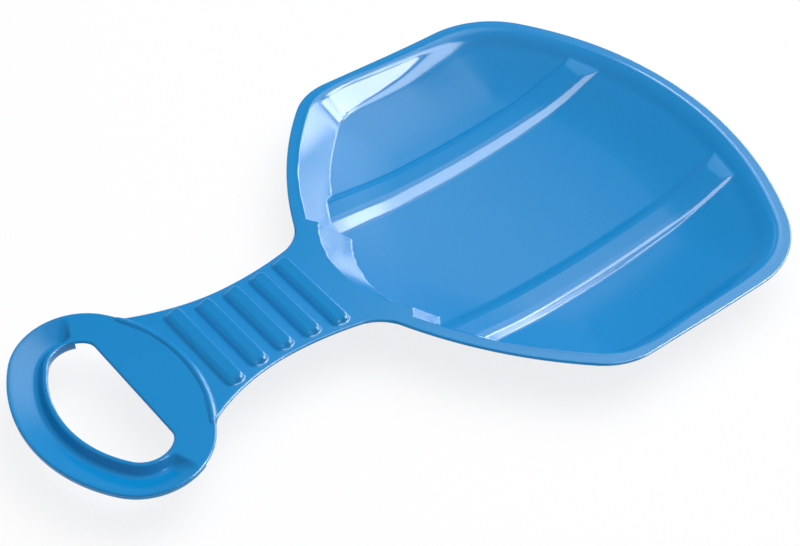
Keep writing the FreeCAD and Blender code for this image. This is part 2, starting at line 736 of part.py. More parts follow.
def draw_bar(sketch, half_length, half_width, corner):
    """Rectangle with four round corners."""
    quarter = math.pi / 2
    x = half_length.value - corner.value
    y = half_width.value - corner.value
    corners = [point(x, y), point(-x, y), point(-x, -y), point(x, -y)]
    arcs = [add_arc(sketch, centre, corner.value, turn * quarter, (turn + 1) * quarter)
            for turn, centre in enumerate(corners)]
    ends = [(arc, sketch.getPoint(arc, 1), sketch.getPoint(arc, 2)) for arc in arcs]
    for (arc, _, leave), (following, meet, _) in zip(ends, ends[1:] + ends[:1]):
        line = add_line(sketch, leave, meet)
        tie(sketch, "Tangent", arc, 2, line, 1)
        tie(sketch, "Tangent", line, 2, following, 1)
    for arc in arcs:
        limit(sketch, "Radius", corner, arc)
    place_x(sketch, half_length - corner, arcs[0], 3)
    place_y(sketch, half_width - corner, arcs[0], 3)
    place_x(sketch, corner - half_length, arcs[2], 3)
    place_y(sketch, corner - half_width, arcs[2], 3)


def bar_block(name, number, skin, height):
    """Bar that stands across the deck; a cavity bar is smaller by the sheet's wall."""
    body = doc.addObject("PartDesign::Body", name)
    y = size("rib_first_y") + size("rib_pitch") * number
    half_length = neck_half_width(y) - size("rib_margin") - skin
    half_width = size("rib_width").half() - skin
    corner = size("rib_corner") - skin
    sketch = new_sketch(body, "XY_Plane", f"{name}_outline", -OVERRUN)
    draw_bar(sketch, half_length, half_width, corner)
    block = pad(body, sketch, OVERRUN + height)
    body.Placement = FreeCAD.Placement(
        FreeCAD.Vector(0, 0, 0),
        FreeCAD.Rotation(FreeCAD.Vector(1, 0, 0), -math.degrees(math.atan(DECK_FALL_SHARE))))
    bind(body, "Placement.Base.y", y)
    bind(body, "Placement.Base.z", deck_height_at(y) - skin)
    doc.recompute()
    return body, block


def grip_rib_block(name, number, skin):
    body, block = bar_block(name, number, skin, size("rib_height"))
    if skin is NOTHING:
        top = size("rib_height").value
        crest = edge_names(block.Shape, lambda edge: all(
            abs(vertex.Point.z - top) < size("rib_edge").value / 2 for vertex in edge.Vertexes))
        round_edges(body, block, crest, size("rib_edge"))
        doc.recompute()
    return body


# Bead across the neck, in line with the oval

def bead_block(name):
    body = doc.addObject("PartDesign::Body", name)
    sketch = new_sketch(body, "YZ_Plane", f"{name}_section")
    bind(sketch, "AttachmentOffset.Base.x", HANDLE_Y - OVAL_LONG_OFFSET)
    reach = OVAL_LONG_RADIUS - size("bead_inset")
    centre_z = DECK_TOP + size("bead_height") - size("bead_radius")
    circle = Part.Circle(point(reach.value, centre_z.value), FreeCAD.Vector(0, 0, 1), size("bead_radius").value)
    section = sketch.addGeometry(circle, False)
    limit(sketch, "Radius", size("bead_radius"), section)
    place_x(sketch, reach, section, 3)
    place_y(sketch, centre_z, section, 3)
    feature = body.newObject("PartDesign::Revolution", "bead")
    feature.Profile = sketch
    feature.ReferenceAxis = (sketch, ["V_Axis"])
    feature.Midplane = True
    bind(feature, "Angle", size("bead_sweep_angle"))
    doc.recompute()
    return body


# Grip bar: its section is turned about the three arc centres of the oval

def section_corners(outer_radius, spots):
    """Corners of a section, from distances inside the outer edge and depths below the deck."""
    return [(outer_radius - inside, DECK_TOP - depth) for inside, depth in spots]


def grip_section():
    inner = size("grip_width")
    keel_inner = inner - WALL
    return [(NOTHING, NOTHING), (NOTHING, size("grip_outer_depth")),
            (keel_inner - size("grip_keel"), size("grip_depth")), (keel_inner, size("grip_depth")),
            (inner, size("grip_inner_depth")), (inner, NOTHING)]


def trough_section():
    inner = size("grip_width") - size("trough_inner_lip")
    floor_inner = inner - size("trough_wall_lean")
    lip = size("trough_outer_lip")
    return [(lip, -OVERRUN), (lip, NOTHING), (floor_inner - size("trough_floor"), size("trough_depth")),
            (floor_inner, size("trough_depth")), (inner, NOTHING), (inner, -OVERRUN)]


def zone_section():
    inner = size("grip_width") + size("hole_corner").half()
    return [(-OVERRUN, -OVERRUN), (-OVERRUN, OVERRUN), (inner, OVERRUN), (inner, -OVERRUN)]


JOINT_TURN = OVAL_END_X.over(OVAL_LONG_OFFSET).turn()
QUARTER_TURN = Size("90 deg", 90.0)


def grip_turns(body, kind, spots, end):
    """The front arc and the two end arcs of the handle, with one section throughout."""
    front = new_sketch(body, "YZ_Plane", f"{body.Name}_front_{kind}")
    bind(front, "AttachmentOffset.Base.x", HANDLE_Y + OVAL_LONG_OFFSET)
    draw_polygon(front, [(-x, z) for x, z in section_corners(OVAL_LONG_RADIUS, spots)])
    turn = body.newObject(f"PartDesign::{kind}", "front_turn")
    turn.Profile = front
    turn.ReferenceAxis = (front, ["V_Axis"])
    turn.Midplane = True
    bind(turn, "Angle", JOINT_TURN + JOINT_TURN)
    end_turn = end.over(size("oval_end_radius") - size("grip_width").half()).turn()
    for side_name, side in SIDES.items():
        sketch = new_sketch(body, "XZ_Plane", f"{body.Name}_{side_name}_{kind}", -HANDLE_Y)
        bind(sketch, "AttachmentOffset.Base.x", OVAL_END_X * side)
        draw_polygon(sketch, [(x * side, z) for x, z in section_corners(size("oval_end_radius"), spots)])
        turn = body.newObject(f"PartDesign::{kind}", f"{side_name}_turn")
        turn.Profile = sketch
        turn.ReferenceAxis = (sketch, ["V_Axis"])
        turn.Type = "TwoAngles"
        forward, backward = QUARTER_TURN - JOINT_TURN, end_turn
        bind(turn, "Angle", backward if side > 0 else forward)
        bind(turn, "Angle2", forward if side > 0 else backward)
    doc.recompute()


def grip_body():
    body = doc.addObject("PartDesign::Body", "handle_grip")
    grip_turns(body, "Revolution", grip_section(), size("grip_end"))
    grip_turns(body, "Groove", trough_section(), size("grip_end") - WALL)
    return body


def grip_zone():
    body = doc.addObject("PartDesign::Body", "grip_zone")
    grip_turns(body, "Revolution", zone_section(), size("grip_end"))
    return body


# Sheet between the two faces, and the pieces it is divided into

def boolean(kind, name, base, *tools):
    current = base
    for number, tool in enumerate(tools):
        feature = doc.addObject(f"Part::{kind}", f"{name}_{number}" if number < len(tools) - 1 else name)
        feature.Base = current
        feature.Tool = tool
        current = feature
    doc.recompute()
    return current


def fused(name, shapes):
    feature = doc.addObject("Part::MultiFuse", name)
    feature.Shapes = shapes
    doc.recompute()
    return feature


def draw_runner_zone(sketch, side):
    """Footprint of a runner rib: its ends lie along the front wall and the foot of the ramp."""
    middle = size("runner_x") * side
    half = size("runner_base_width").half()
    skew = half * math.tan(math.radians(RUNNER_SKEW_DEGREES)) * side
    front = size("runner_front_y")
    rear = size("runner_rear_y")
    draw_polygon(sketch, [(middle - half, front - skew), (middle + half, front + skew),
                          (middle + half, rear - skew), (middle - half, rear + skew)])


def sheet_block(name, skin):
    """Block under one face of the sheet, with the ribs that stand out of that face."""
    blocks = [face_block(f"{name}_face", skin)]
    blocks += [runner_block(f"{name}_runner_{side_name}", side, skin) for side_name, side in SIDES.items()]
    blocks += [grip_rib_block(f"{name}_bar_{number + 1}", number, skin) for number in range(RIB_COUNT)]
    if skin is NOTHING:
        blocks.append(bead_block(f"{name}_bead"))
    return fused(name, blocks)


upper = sheet_block("upper", NOTHING)
under = sheet_block("under", WALL)
sheet = boolean("Cut", "sheet", upper, under)
moulding = boolean("Common", "moulding", sheet, whole_outline())

oval_prism = prism("oval_prism", lambda sketch: draw_oval(sketch, NOTHING))
seat_prism = prism("seat_prism", lambda sketch: draw_seat_outline(sketch, seat_outline()))
well_prism = prism("well_prism", lambda sketch: draw_seat_outline(
    sketch, grown(seat_outline(), -size("rim_width"))))
rib_zones = [bar_block(f"rib_zone_{number + 1}", number, NOTHING, OVERRUN)[0] for number in range(RIB_COUNT)]
runner_zones = {name: prism(f"runner_zone_{name}", lambda sketch, side=side: draw_runner_zone(sketch, side))
                for name, side in SIDES.items()}

pieces = {"handle_grip": grip_body()}
handle_sheet = boolean("Common", "handle_sheet", moulding, oval_prism)
pieces["handle_plate"] = boolean("Cut", "handle_plate", handle_sheet, grip_zone())
neck_sheet = boolean("Cut", "neck_sheet", moulding, oval_prism, seat_prism)
pieces["neck"] = boolean("Cut", "neck", neck_sheet, *rib_zones)
for number, zone in enumerate(rib_zones, start=1):
    pieces[f"grip_rib_{number}"] = boolean("Common", f"grip_rib_{number}", neck_sheet, zone)
seat_sheet = boolean("Common", "seat_sheet", moulding, seat_prism)
pieces["seat_rim"] = boolean("Cut", "seat_rim", seat_sheet, well_prism)
well = boolean("Common", "well", seat_sheet, well_prism)
pieces["seat_pan"] = boolean("Cut", "seat_pan", well, *runner_zones.values())
for name, zone in runner_zones.items():
    pieces[f"runner_rib_{name}"] = boolean("Common", f"runner_rib_{name}", well, zone)

# The sled lies on the ground as it balances: turned about the axis of the rocker, handle end down

REST_TURN = math.atan(REST_TILT_SHARE)
rest_y = (size("floor_low_y") * (1 - math.cos(REST_TURN)) + FLOOR_AXIS_Z * math.sin(REST_TURN)
          - size("rest_shift"))
rest_z = FLOOR_AXIS_Z * (1 - math.cos(REST_TURN)) - size("floor_low_y") * math.sin(REST_TURN)
for piece in pieces.values():
    piece.Placement = FreeCAD.Placement(
        FreeCAD.Vector(0, 0, 0), FreeCAD.Rotation(FreeCAD.Vector(1, 0, 0), math.degrees(REST_TURN)))
    bind(piece, "Placement.Base.y", rest_y)
    bind(piece, "Placement.Base.z", rest_z)

doc.recompute()
for item in doc.Objects:
    if "Invalid" in item.State or "Error" in item.State:
        raise RuntimeError(f"{item.Label} did not build")
for name, piece in pieces.items():
    piece.Label = name
    if piece.Shape.isNull() or not piece.Shape.isValid():
        raise RuntimeError(f"{name} has no valid solid")

os.makedirs("parts", exist_ok=True)
for name, piece in pieces.items():
    piece.Shape.exportStep(f"parts/{name}.step")
    print(name, len(piece.Shape.Solids), round(piece.Shape.Volume))
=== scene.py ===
import math
import bpy
import numpy as np
from mathutils import Matrix, Vector


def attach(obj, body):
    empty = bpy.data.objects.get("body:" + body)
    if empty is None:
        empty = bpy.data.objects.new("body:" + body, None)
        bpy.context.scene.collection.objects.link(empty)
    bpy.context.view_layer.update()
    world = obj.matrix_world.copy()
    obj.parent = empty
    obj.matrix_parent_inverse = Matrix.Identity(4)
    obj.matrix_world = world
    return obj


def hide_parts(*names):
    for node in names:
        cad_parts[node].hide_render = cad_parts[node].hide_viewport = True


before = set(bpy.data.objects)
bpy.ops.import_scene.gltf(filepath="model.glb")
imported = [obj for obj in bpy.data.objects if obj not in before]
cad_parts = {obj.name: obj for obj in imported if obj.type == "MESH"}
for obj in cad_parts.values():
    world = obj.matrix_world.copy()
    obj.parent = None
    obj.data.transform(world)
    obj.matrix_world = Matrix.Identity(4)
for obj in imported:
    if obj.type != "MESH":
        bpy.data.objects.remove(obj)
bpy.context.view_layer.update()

# Snow slider: one blue plastic moulding. Its faces are worked out from the sizes below, in millimetres,
# with the deck level at the handle; the whole is then laid on the ground as it balances.
# x runs across the sled, y from the handle to the rear. A pair says where a gradual change starts and ends.

# Sheet, deck and rest position
WALL = 2.5
EDGE = 1.25  # radius of the sheet's rounded edge
DECK_HEIGHT = 46.4
DECK_FALL = 0.0553  # slope behind the bend
DECK_BEND_Y = -160.0
DECK_BEND_RADIUS = 500.0
DECK_BEND_REACH = 60.0
DECK_REAR_BEND_Y = 120.0
DECK_REAR_RADIUS = 1200.0
REST_TILT = 0.0479
REST_SHIFT = 32.7

# Seat: its outer edge, and the outlines at the top and the foot of the bowl's wall
REAR_Y = 273.3
SEAT = dict(width=340.0, rear_radius=261.0, rear_corner=68.7, shoulder_corner=52.0,
            shoulder_radius=319.0, root_width=90.6, front_radius=113.6, front_y=-54.4)
BOWL_TOP = dict(width=351.0, rear_radius=266.0, rear_corner=72.0, shoulder_corner=50.0,
                shoulder_radius=324.6, root_width=95.1, front_radius=119.2, front_y=-60.0)
BOWL_FOOT = dict(width=256.6, rear_radius=219.5, rear_corner=42.0, shoulder_corner=18.0,
                 shoulder_radius=265.0, root_width=47.5, front_radius=59.6, front_y=-0.4)
BOWL_TOP_Z = 54.0
BOWL_FOOT_Z = -16.0
REAR_CENTRE_Y = REAR_Y - SEAT["rear_radius"]
WALL_LEAST_RUN = 4.0
WALL_SWELL = 2.4
WALL_SWELL_X = (105.0, 62.0)
WALL_SWELL_Y = (60.0, 20.0)

# Land: the middle of the front wall, which stands proud of the bowl's wall and ends in slanting sides
LAND_TOP_RADIUS = 91.8
LAND_TOP_Y = -53.5
LAND_FOOT_RADIUS = 70.0
LAND_FOOT_Y = 6.1
LAND_SIDE_SPOT = (52.8, -26.0, 39.0)
LAND_SIDE_FACING = (0.46, 0.70, 0.546)
LAND_CORNER = 0.5
LAND_CREASE = 0.4
LAND_END_Y = 40.0

# Rim, with a low lip along it
RIM_WIDTH = 9.0
RIM_ROLL = 7.5
RIM_FRONT_ROLL = 0.25
RIM_ROLL_Y = (10.0, 70.0)
LIP_PLACE = 8.4
LIP_HALF_WIDTH = 2.6
LIP_HEIGHT = 0.32
LIP_Y = (-30.0, 30.0)

# Floor: a rocker that lifts towards the sides and the rear
FLOOR_RADIUS = 716.0
FLOOR_CROWN = 1600.0
FLOOR_LOW_Y = 95.0
FLOOR_AXIS_Z = WALL + FLOOR_RADIUS
FLOOR_FILLET = 0.4
FLOOR_REAR_FILLET = 20.0
FLOOR_FILLET_Y = (40.0, 210.0)
LIFT_FROM = 75.0
LIFT_TO_SIDE = 20.0
LIFT_TO_REAR = 9.0
LIFT_SIDE = 6.2
LIFT_LIP = 1.4
LIFT_MOST = 1.1
LIFT_Y = (-25.0, 40.0)
LIFT_REAR_Y = (130.0, 225.0)

# Runner ribs
RUNNER_X = 74.0
RUNNER_ZONE = 36.0
RUNNER_FRONT_Y = 1.5
RUNNER_REAR_Y = 245.0
RUNNER_RAMP = 19.0
RUNNER_RAMP_ROUND = 0.25
RUNNER_INNER = 64.5
RUNNER_OUTER = 82.0
RUNNER_INNER_RUN = 7.5
RUNNER_OUTER_RUN = 5.7
RUNNER_HEIGHT = 4.5
RUNNER_SHIFT = 6.0
RUNNER_EDGE = 8.0
RUNNER_FOOT = 2.5
RUNNER_SKEW = math.tan(math.radians(22))
INNER_COS = RUNNER_INNER_RUN / math.hypot(RUNNER_INNER_RUN, RUNNER_HEIGHT)
OUTER_COS = RUNNER_OUTER_RUN / math.hypot(RUNNER_OUTER_RUN, RUNNER_HEIGHT)

# Neck and its grip ribs
HALF_WAIST = 36.15
WAIST_Y = -109.9
NECK_FRONT_RADIUS = 147.0
NECK_REAR_RADIUS = 238.0
NECK_SEAT_FILLET = 31.0
NECK_SEAT_FILLET_NEAR = (75.0, -72.0)
NECK_HANDLE_FILLET = 12.0
NECK_HANDLE_FILLET_NEAR = (62.0, -168.0)
RIB_COUNT = 5
RIB_FIRST_Y = -150.7
RIB_PITCH = 20.5
RIB_WIDTH = 14.0
RIB_CORNER = 5.0
RIB_HEIGHT = 3.4
RIB_SLANT = 0.15
RIB_MARGIN = 4.0
RIB_FRONT_EDGE = 6.0
RIB_REAR_EDGE = 2.2
RIB_FRONT_LEAN = math.radians(48)
RIB_REAR_LEAN = math.radians(22)
RIB_TURN_Y = (-3.0, 3.0)
RIB_FOOT = 0.6

# Handle: an oval plate with a bead, a hand hole, and a grip bar with a trough in its top
HANDLE_Y = -218.2
OVAL_HALF_WIDTH = 79.65
OVAL_HALF_DEPTH = 55.15
OVAL_END = 43.0
HOLE_REAR = 15.6
HOLE_CORNER = 9.5
BEAD_INSET = 1.8
BEAD_RADIUS = 2.4
BEAD_HEIGHT = 1.3
BEAD_HALF_TURN = math.radians(31)
BEAD_FOOT = 0.35
GRIP_WIDTH = 24.8
GRIP_END = 14.0
GRIP_OUTER = 4.2
GRIP_DEPTH = 9.0
GRIP_INNER = 6.0
GRIP_KEEL = 7.0
GRIP_OUTER_ROUND = 0.3
GRIP_INNER_ROUND = 0.5
TROUGH_DEPTH = 6.6
TROUGH_OUTER = 2.0
TROUGH_INNER = 2.8
TROUGH_LEAN = 4.6
TROUGH_ROUND = 2.0
TROUGH_INNER_ROUND = 2.6
TROUGH_END_ROUND = 3.0
TROUGH_LIP = 0.8

# Slack and search limits
ARC_SLACK = 0.02
SEAM_SLACK = 0.01
DEEP_INSIDE = -60.0
LOWEST_Z = -40.0
HIGHEST_Z = 75.0
EDGE_REACH = 30.0
PROBE = 0.02
OUTLINE_PROBE = 0.01
TINY = 1e-9


# Outlines seen from above, each as tangent arcs on the right half

def turned(centre, radius, angle):
    return np.array([centre[0] + radius * math.cos(angle), centre[1] + radius * math.sin(angle)])


def crossing(first, first_radius, second, second_radius, near):
    """Of the two points at given distances from two centres, the one nearer to a place."""
    first, second = np.array(first, float), np.array(second, float)
    apart = second - first
    span = np.hypot(*apart)
    along = (span ** 2 + first_radius ** 2 - second_radius ** 2) / (2 * span)
    aside = math.sqrt(first_radius ** 2 - along ** 2)
    foot = first + apart / span * along
    offset = np.array([-apart[1], apart[0]]) / span * aside
    return min((foot + offset, foot - offset), key=lambda spot: np.hypot(*(spot - np.array(near))))


def bearing(centre, spot):
    return math.atan2(spot[1] - centre[1], spot[0] - centre[0])


def arc(centre, radius, start, end, hollow=False):
    """Arc from one point to another the short way; hollow where the plastic is outside the circle."""
    first = bearing(centre, start)
    sweep = (bearing(centre, end) - first + math.pi) % (2 * math.pi) - math.pi
    return dict(centre=np.array(centre, float), radius=radius, first=first, sweep=sweep,
                sign=-1.0 if hollow else 1.0)


def stretch_distance(stretch, x, y):
    """Signed distance to an arc, or nan where the arc is not abreast of the point."""
    across, along = x - stretch["centre"][0], y - stretch["centre"][1]
    angle = np.arctan2(along, across) - stretch["first"]
    way = math.copysign(1.0, stretch["sweep"])
    turn = np.mod(angle * way + ARC_SLACK, 2 * math.pi) - ARC_SLACK
    abreast = turn <= abs(stretch["sweep"]) + ARC_SLACK
    return np.where(abreast, stretch["sign"] * (np.hypot(across, along) - stretch["radius"]), np.nan)


def side_distance(side, x, y):
    """Distance outside a seat's straight side, or nan in front of it and behind it."""
    place, low, high = side
    return np.where((y >= low) & (y <= high), x - place, np.nan)


def seat_stretches(size):
    """A seat outline from the middle of its front to the middle of its rear."""
    side = size["width"] / 2
    front_centre = np.array([0.0, size["front_y"] + size["front_radius"]])
    root = math.asin(size["root_width"] / 2 / size["front_radius"]) - math.pi / 2
    shoulder_centre = turned(front_centre, size["front_radius"] - size["shoulder_radius"], root)
    rear_centre = np.array([0.0, REAR_CENTRE_Y])
    corner, rear_corner = size["shoulder_corner"], size["rear_corner"]
    reach = size["shoulder_radius"] - corner
    across = side - corner - shoulder_centre[0]
    blend = np.array([side - corner, shoulder_centre[1] - math.sqrt(reach ** 2 - across ** 2)])
    rear_reach = size["rear_radius"] - rear_corner
    rear_blend = np.array([side - rear_corner,
                           rear_centre[1] + math.sqrt(rear_reach ** 2 - (side - rear_corner) ** 2)])
    root_spot = turned(front_centre, size["front_radius"], root)
    shoulder_spot = turned(blend, corner, bearing(shoulder_centre, blend))
    rear_spot = turned(rear_blend, rear_corner, bearing(rear_centre, rear_blend))
    return dict(
        front=arc(front_centre, size["front_radius"], (0.0, size["front_y"]), root_spot),
        shoulder=arc(shoulder_centre, size["shoulder_radius"], root_spot, shoulder_spot),
        corner=arc(blend, corner, shoulder_spot, (side, blend[1])),
        side=(side, blend[1], rear_blend[1]),
        rear_corner=arc(rear_blend, rear_corner, (side, rear_blend[1]), rear_spot),
        rear=arc(rear_centre, size["rear_radius"], rear_spot, (0.0, rear_centre[1] + size["rear_radius"])))


def grown(size, by):
    """The same outline, moved outwards all round."""
    wider = dict(size)
    for name in ("rear_radius", "rear_corner", "shoulder_corner", "shoulder_radius", "front_radius"):
        wider[name] = size[name] + by
    wider["width"] = size["width"] + 2 * by
    wider["root_width"] = size["root_width"] * (1 + by / size["front_radius"])
    wider["front_y"] = size["front_y"] - by
    return wider


def seat_distance(stretches, x, y):
    """Signed distance to a seat outline, negative inside."""
    x = np.abs(x)
    found = [stretch_distance(stretch, x, y) for name, stretch in stretches.items() if name != "side"]
    found.append(side_distance(stretches["side"], x, y))
    best = np.fmax.reduce(found)
    return np.where(np.isnan(best), DEEP_INSIDE, best)


def arc_y(stretch, x, upward):
    """Where an arc's circle passes a place across the sled, on its rear or its front half."""
    rise = np.sqrt(np.maximum(stretch["radius"] ** 2 - (x - stretch["centre"][0]) ** 2, 0))
    return stretch["centre"][1] + (rise if upward else -rise)


def arc_end(stretch, share):
    """Point at a share of an arc's way: 0 is its start and 1 its end."""
    return turned(stretch["centre"], stretch["radius"], stretch["first"] + stretch["sweep"] * share)


def front_y(stretches, x):
    """Front limit of a seat outline at a place across the sled."""
    x = np.abs(x)
    y = arc_y(stretches["front"], x, False)
    y = np.where(x > arc_end(stretches["front"], 1)[0], arc_y(stretches["shoulder"], x, False), y)
    return np.where(x > arc_end(stretches["shoulder"], 1)[0], arc_y(stretches["corner"], x, False), y)


def rear_y(stretches, x):
    """Rear limit of a seat outline at a place across the sled."""
    x = np.abs(x)
    y = arc_y(stretches["rear"], x, True)
    return np.where(x > arc_end(stretches["rear"], 0)[0], arc_y(stretches["rear_corner"], x, True), y)


SEAT_LINE = seat_stretches(SEAT)
WELL_LINE = seat_stretches(grown(SEAT, -RIM_WIDTH))
TOP_LINE = seat_stretches(BOWL_TOP)
FOOT_LINE = seat_stretches(BOWL_FOOT)

END_X = OVAL_HALF_WIDTH - OVAL_END
RISE = OVAL_HALF_DEPTH - OVAL_END
LONG_OFFSET = (END_X ** 2 - RISE ** 2) / (2 * RISE)
LONG_RADIUS = OVAL_HALF_DEPTH + LONG_OFFSET
LEAN = math.atan2(END_X, LONG_OFFSET)
OVAL_FRONT = (0.0, HANDLE_Y + LONG_OFFSET)
OVAL_REAR = (0.0, HANDLE_Y - LONG_OFFSET)
OVAL_SIDE = (END_X, HANDLE_Y)
OVAL_REAR_Y = HANDLE_Y + OVAL_HALF_DEPTH
JOINT_FRONT = turned(OVAL_SIDE, OVAL_END, LEAN - math.pi / 2)
JOINT_REAR = turned(OVAL_SIDE, OVAL_END, math.pi / 2 - LEAN)
OVAL_LINE = [
    arc(OVAL_FRONT, LONG_RADIUS, (0.0, HANDLE_Y - OVAL_HALF_DEPTH), JOINT_FRONT),
    arc(OVAL_SIDE, OVAL_END, JOINT_FRONT, JOINT_REAR),
    arc(OVAL_REAR, LONG_RADIUS, JOINT_REAR, (0.0, OVAL_REAR_Y))]
NECK_FRONT = (HALF_WAIST + NECK_FRONT_RADIUS, WAIST_Y)
NECK_REAR = (HALF_WAIST + NECK_REAR_RADIUS, WAIST_Y)
SHOULDER = SEAT_LINE["shoulder"]
SEAT_FILLET = crossing(SHOULDER["centre"], SHOULDER["radius"] + NECK_SEAT_FILLET,
                       NECK_REAR, NECK_REAR_RADIUS - NECK_SEAT_FILLET, NECK_SEAT_FILLET_NEAR)
HANDLE_FILLET = crossing(OVAL_REAR, LONG_RADIUS + NECK_HANDLE_FILLET,
                         NECK_FRONT, NECK_FRONT_RADIUS - NECK_HANDLE_FILLET, NECK_HANDLE_FILLET_NEAR)
HANDLE_TIP = turned(OVAL_REAR, LONG_RADIUS, bearing(OVAL_REAR, HANDLE_FILLET))
NECK_START = turned(NECK_FRONT, NECK_FRONT_RADIUS, bearing(NECK_FRONT, HANDLE_FILLET))
NECK_STOP = turned(NECK_REAR, NECK_REAR_RADIUS, bearing(NECK_REAR, SEAT_FILLET))
SEAT_TIP = turned(SHOULDER["centre"], SHOULDER["radius"], bearing(SHOULDER["centre"], SEAT_FILLET))
NECK_LINE = [
    arc(HANDLE_FILLET, NECK_HANDLE_FILLET, HANDLE_TIP, NECK_START, hollow=True),
    arc(NECK_FRONT, NECK_FRONT_RADIUS, NECK_START, (HALF_WAIST, WAIST_Y), hollow=True),
    arc(NECK_REAR, NECK_REAR_RADIUS, (HALF_WAIST, WAIST_Y), NECK_STOP, hollow=True),
    arc(SEAT_FILLET, NECK_SEAT_FILLET, NECK_STOP, SEAT_TIP, hollow=True)]
HOLE_END = OVAL_END - GRIP_WIDTH
HOLE_DROP = HOLE_REAR - HOLE_CORNER
HOLE_REAR_Y = HANDLE_Y + HOLE_REAR
HOLE_CORNER_SPOT = (END_X + math.sqrt((HOLE_END - HOLE_CORNER) ** 2 - HOLE_DROP ** 2), HANDLE_Y + HOLE_DROP)
HOLE_TURN = bearing(OVAL_SIDE, HOLE_CORNER_SPOT)
HOLE_JOINT = turned(OVAL_SIDE, HOLE_END, LEAN - math.pi / 2)
HOLE_TIP = turned(OVAL_SIDE, HOLE_END, HOLE_TURN)
HOLE_LINE = [
    arc(OVAL_FRONT, LONG_RADIUS - GRIP_WIDTH, (0.0, OVAL_FRONT[1] - LONG_RADIUS + GRIP_WIDTH), HOLE_JOINT,
        hollow=True),
    arc(OVAL_SIDE, HOLE_END, HOLE_JOINT, HOLE_TIP, hollow=True),
    arc(HOLE_CORNER_SPOT, HOLE_CORNER, HOLE_TIP, (HOLE_CORNER_SPOT[0], HOLE_REAR_Y), hollow=True)]
OUTER_LINE = (
    OVAL_LINE[:2] + [arc(OVAL_REAR, LONG_RADIUS, JOINT_REAR, HANDLE_TIP)] + NECK_LINE
    + [arc(SHOULDER["centre"], SHOULDER["radius"], SEAT_TIP, arc_end(SHOULDER, 1)),
       SEAT_LINE["corner"], SEAT_LINE["rear_corner"], SEAT_LINE["rear"]])
GRIP_TURN = math.atan(GRIP_END / (OVAL_END - GRIP_WIDTH / 2))
TROUGH_TURN = math.atan((GRIP_END - WALL) / (OVAL_END - GRIP_WIDTH / 2))


def nearest(found):
    """Of several signed distances, the one that is least in size."""
    stack = np.array(found)
    rank = np.where(np.isnan(stack), np.inf, np.abs(stack))
    best = np.take_along_axis(stack, rank.argmin(0)[None], 0)[0]
    return np.where(np.isinf(rank.min(0)), DEEP_INSIDE, best)


def outer_distance(x, y):
    """Signed distance to the edge of the whole moulding, negative in the plastic."""
    x = np.abs(x)
    found = [stretch_distance(stretch, x, y) for stretch in OUTER_LINE]
    return nearest(found + [side_distance(SEAT_LINE["side"], x, y)])


def hole_distance(x, y):
    """Signed distance to the edge of the hand hole, negative in the plastic."""
    x = np.abs(x)
    found = [stretch_distance(stretch, x, y) for stretch in HOLE_LINE]
    return nearest(found + [np.where(x <= HOLE_CORNER_SPOT[0] + SEAM_SLACK, HOLE_REAR_Y - y, np.nan)])


def oval_distance(x, y):
    """Signed distance to the handle's oval, negative inside."""
    x = np.abs(x)
    return nearest([stretch_distance(stretch, x, y) for stretch in OVAL_LINE])


# Faces of the sheet. Each is a value at a place and a height: negative in the plastic, zero on the face.

def round_max(a, b, radius):
    """What two faces have in common, with a rounded edge."""
    over = np.hypot(np.maximum(radius + a, 0), np.maximum(radius + b, 0))
    return np.minimum(-radius, np.maximum(a, b)) + over


def round_min(a, b, radius):
    """Two faces together, with a rounded inner corner."""
    return -round_max(-a, -b, radius)


def soft_step(value, start, stop):
    """Smooth change from 0 at the start to 1 at the stop."""
    share = np.clip((value - start) / (stop - start), 0, 1)
    return share * share * (3 - 2 * share)


def deck_height(y):
    """The deck: level at the handle, then a bend, an even fall and a long rise to the rear."""
    turn = math.atan(DECK_FALL)
    level_end = DECK_BEND_Y - DECK_BEND_RADIUS * math.tan(turn / 2)
    bend_end = level_end + DECK_BEND_RADIUS * math.sin(turn)
    rear_centre_y = DECK_REAR_BEND_Y + DECK_REAR_RADIUS * math.sin(turn)
    rear_z = DECK_HEIGHT - (DECK_REAR_BEND_Y - DECK_BEND_Y) * DECK_FALL
    rear_centre_z = rear_z + DECK_REAR_RADIUS * math.cos(turn)
    past = np.clip(y - level_end, 0, DECK_BEND_REACH)
    bend = DECK_HEIGHT - DECK_BEND_RADIUS + np.sqrt(DECK_BEND_RADIUS ** 2 - past ** 2)
    slope = DECK_HEIGHT - (y - DECK_BEND_Y) * DECK_FALL
    rear = rear_centre_z - np.sqrt(DECK_REAR_RADIUS ** 2 - (y - rear_centre_y) ** 2)
    return np.where(y < bend_end, bend, np.where(y < DECK_REAR_BEND_Y, slope, rear))


def ruled_wall(inside, outside):
    """Height and cosine of a wall that falls evenly from one outline to another."""
    run = np.maximum(inside + outside, WALL_LEAST_RUN)
    steep = (BOWL_TOP_Z - BOWL_FOOT_Z) / run
    return BOWL_TOP_Z - steep * inside, 1 / np.sqrt(1 + steep ** 2)


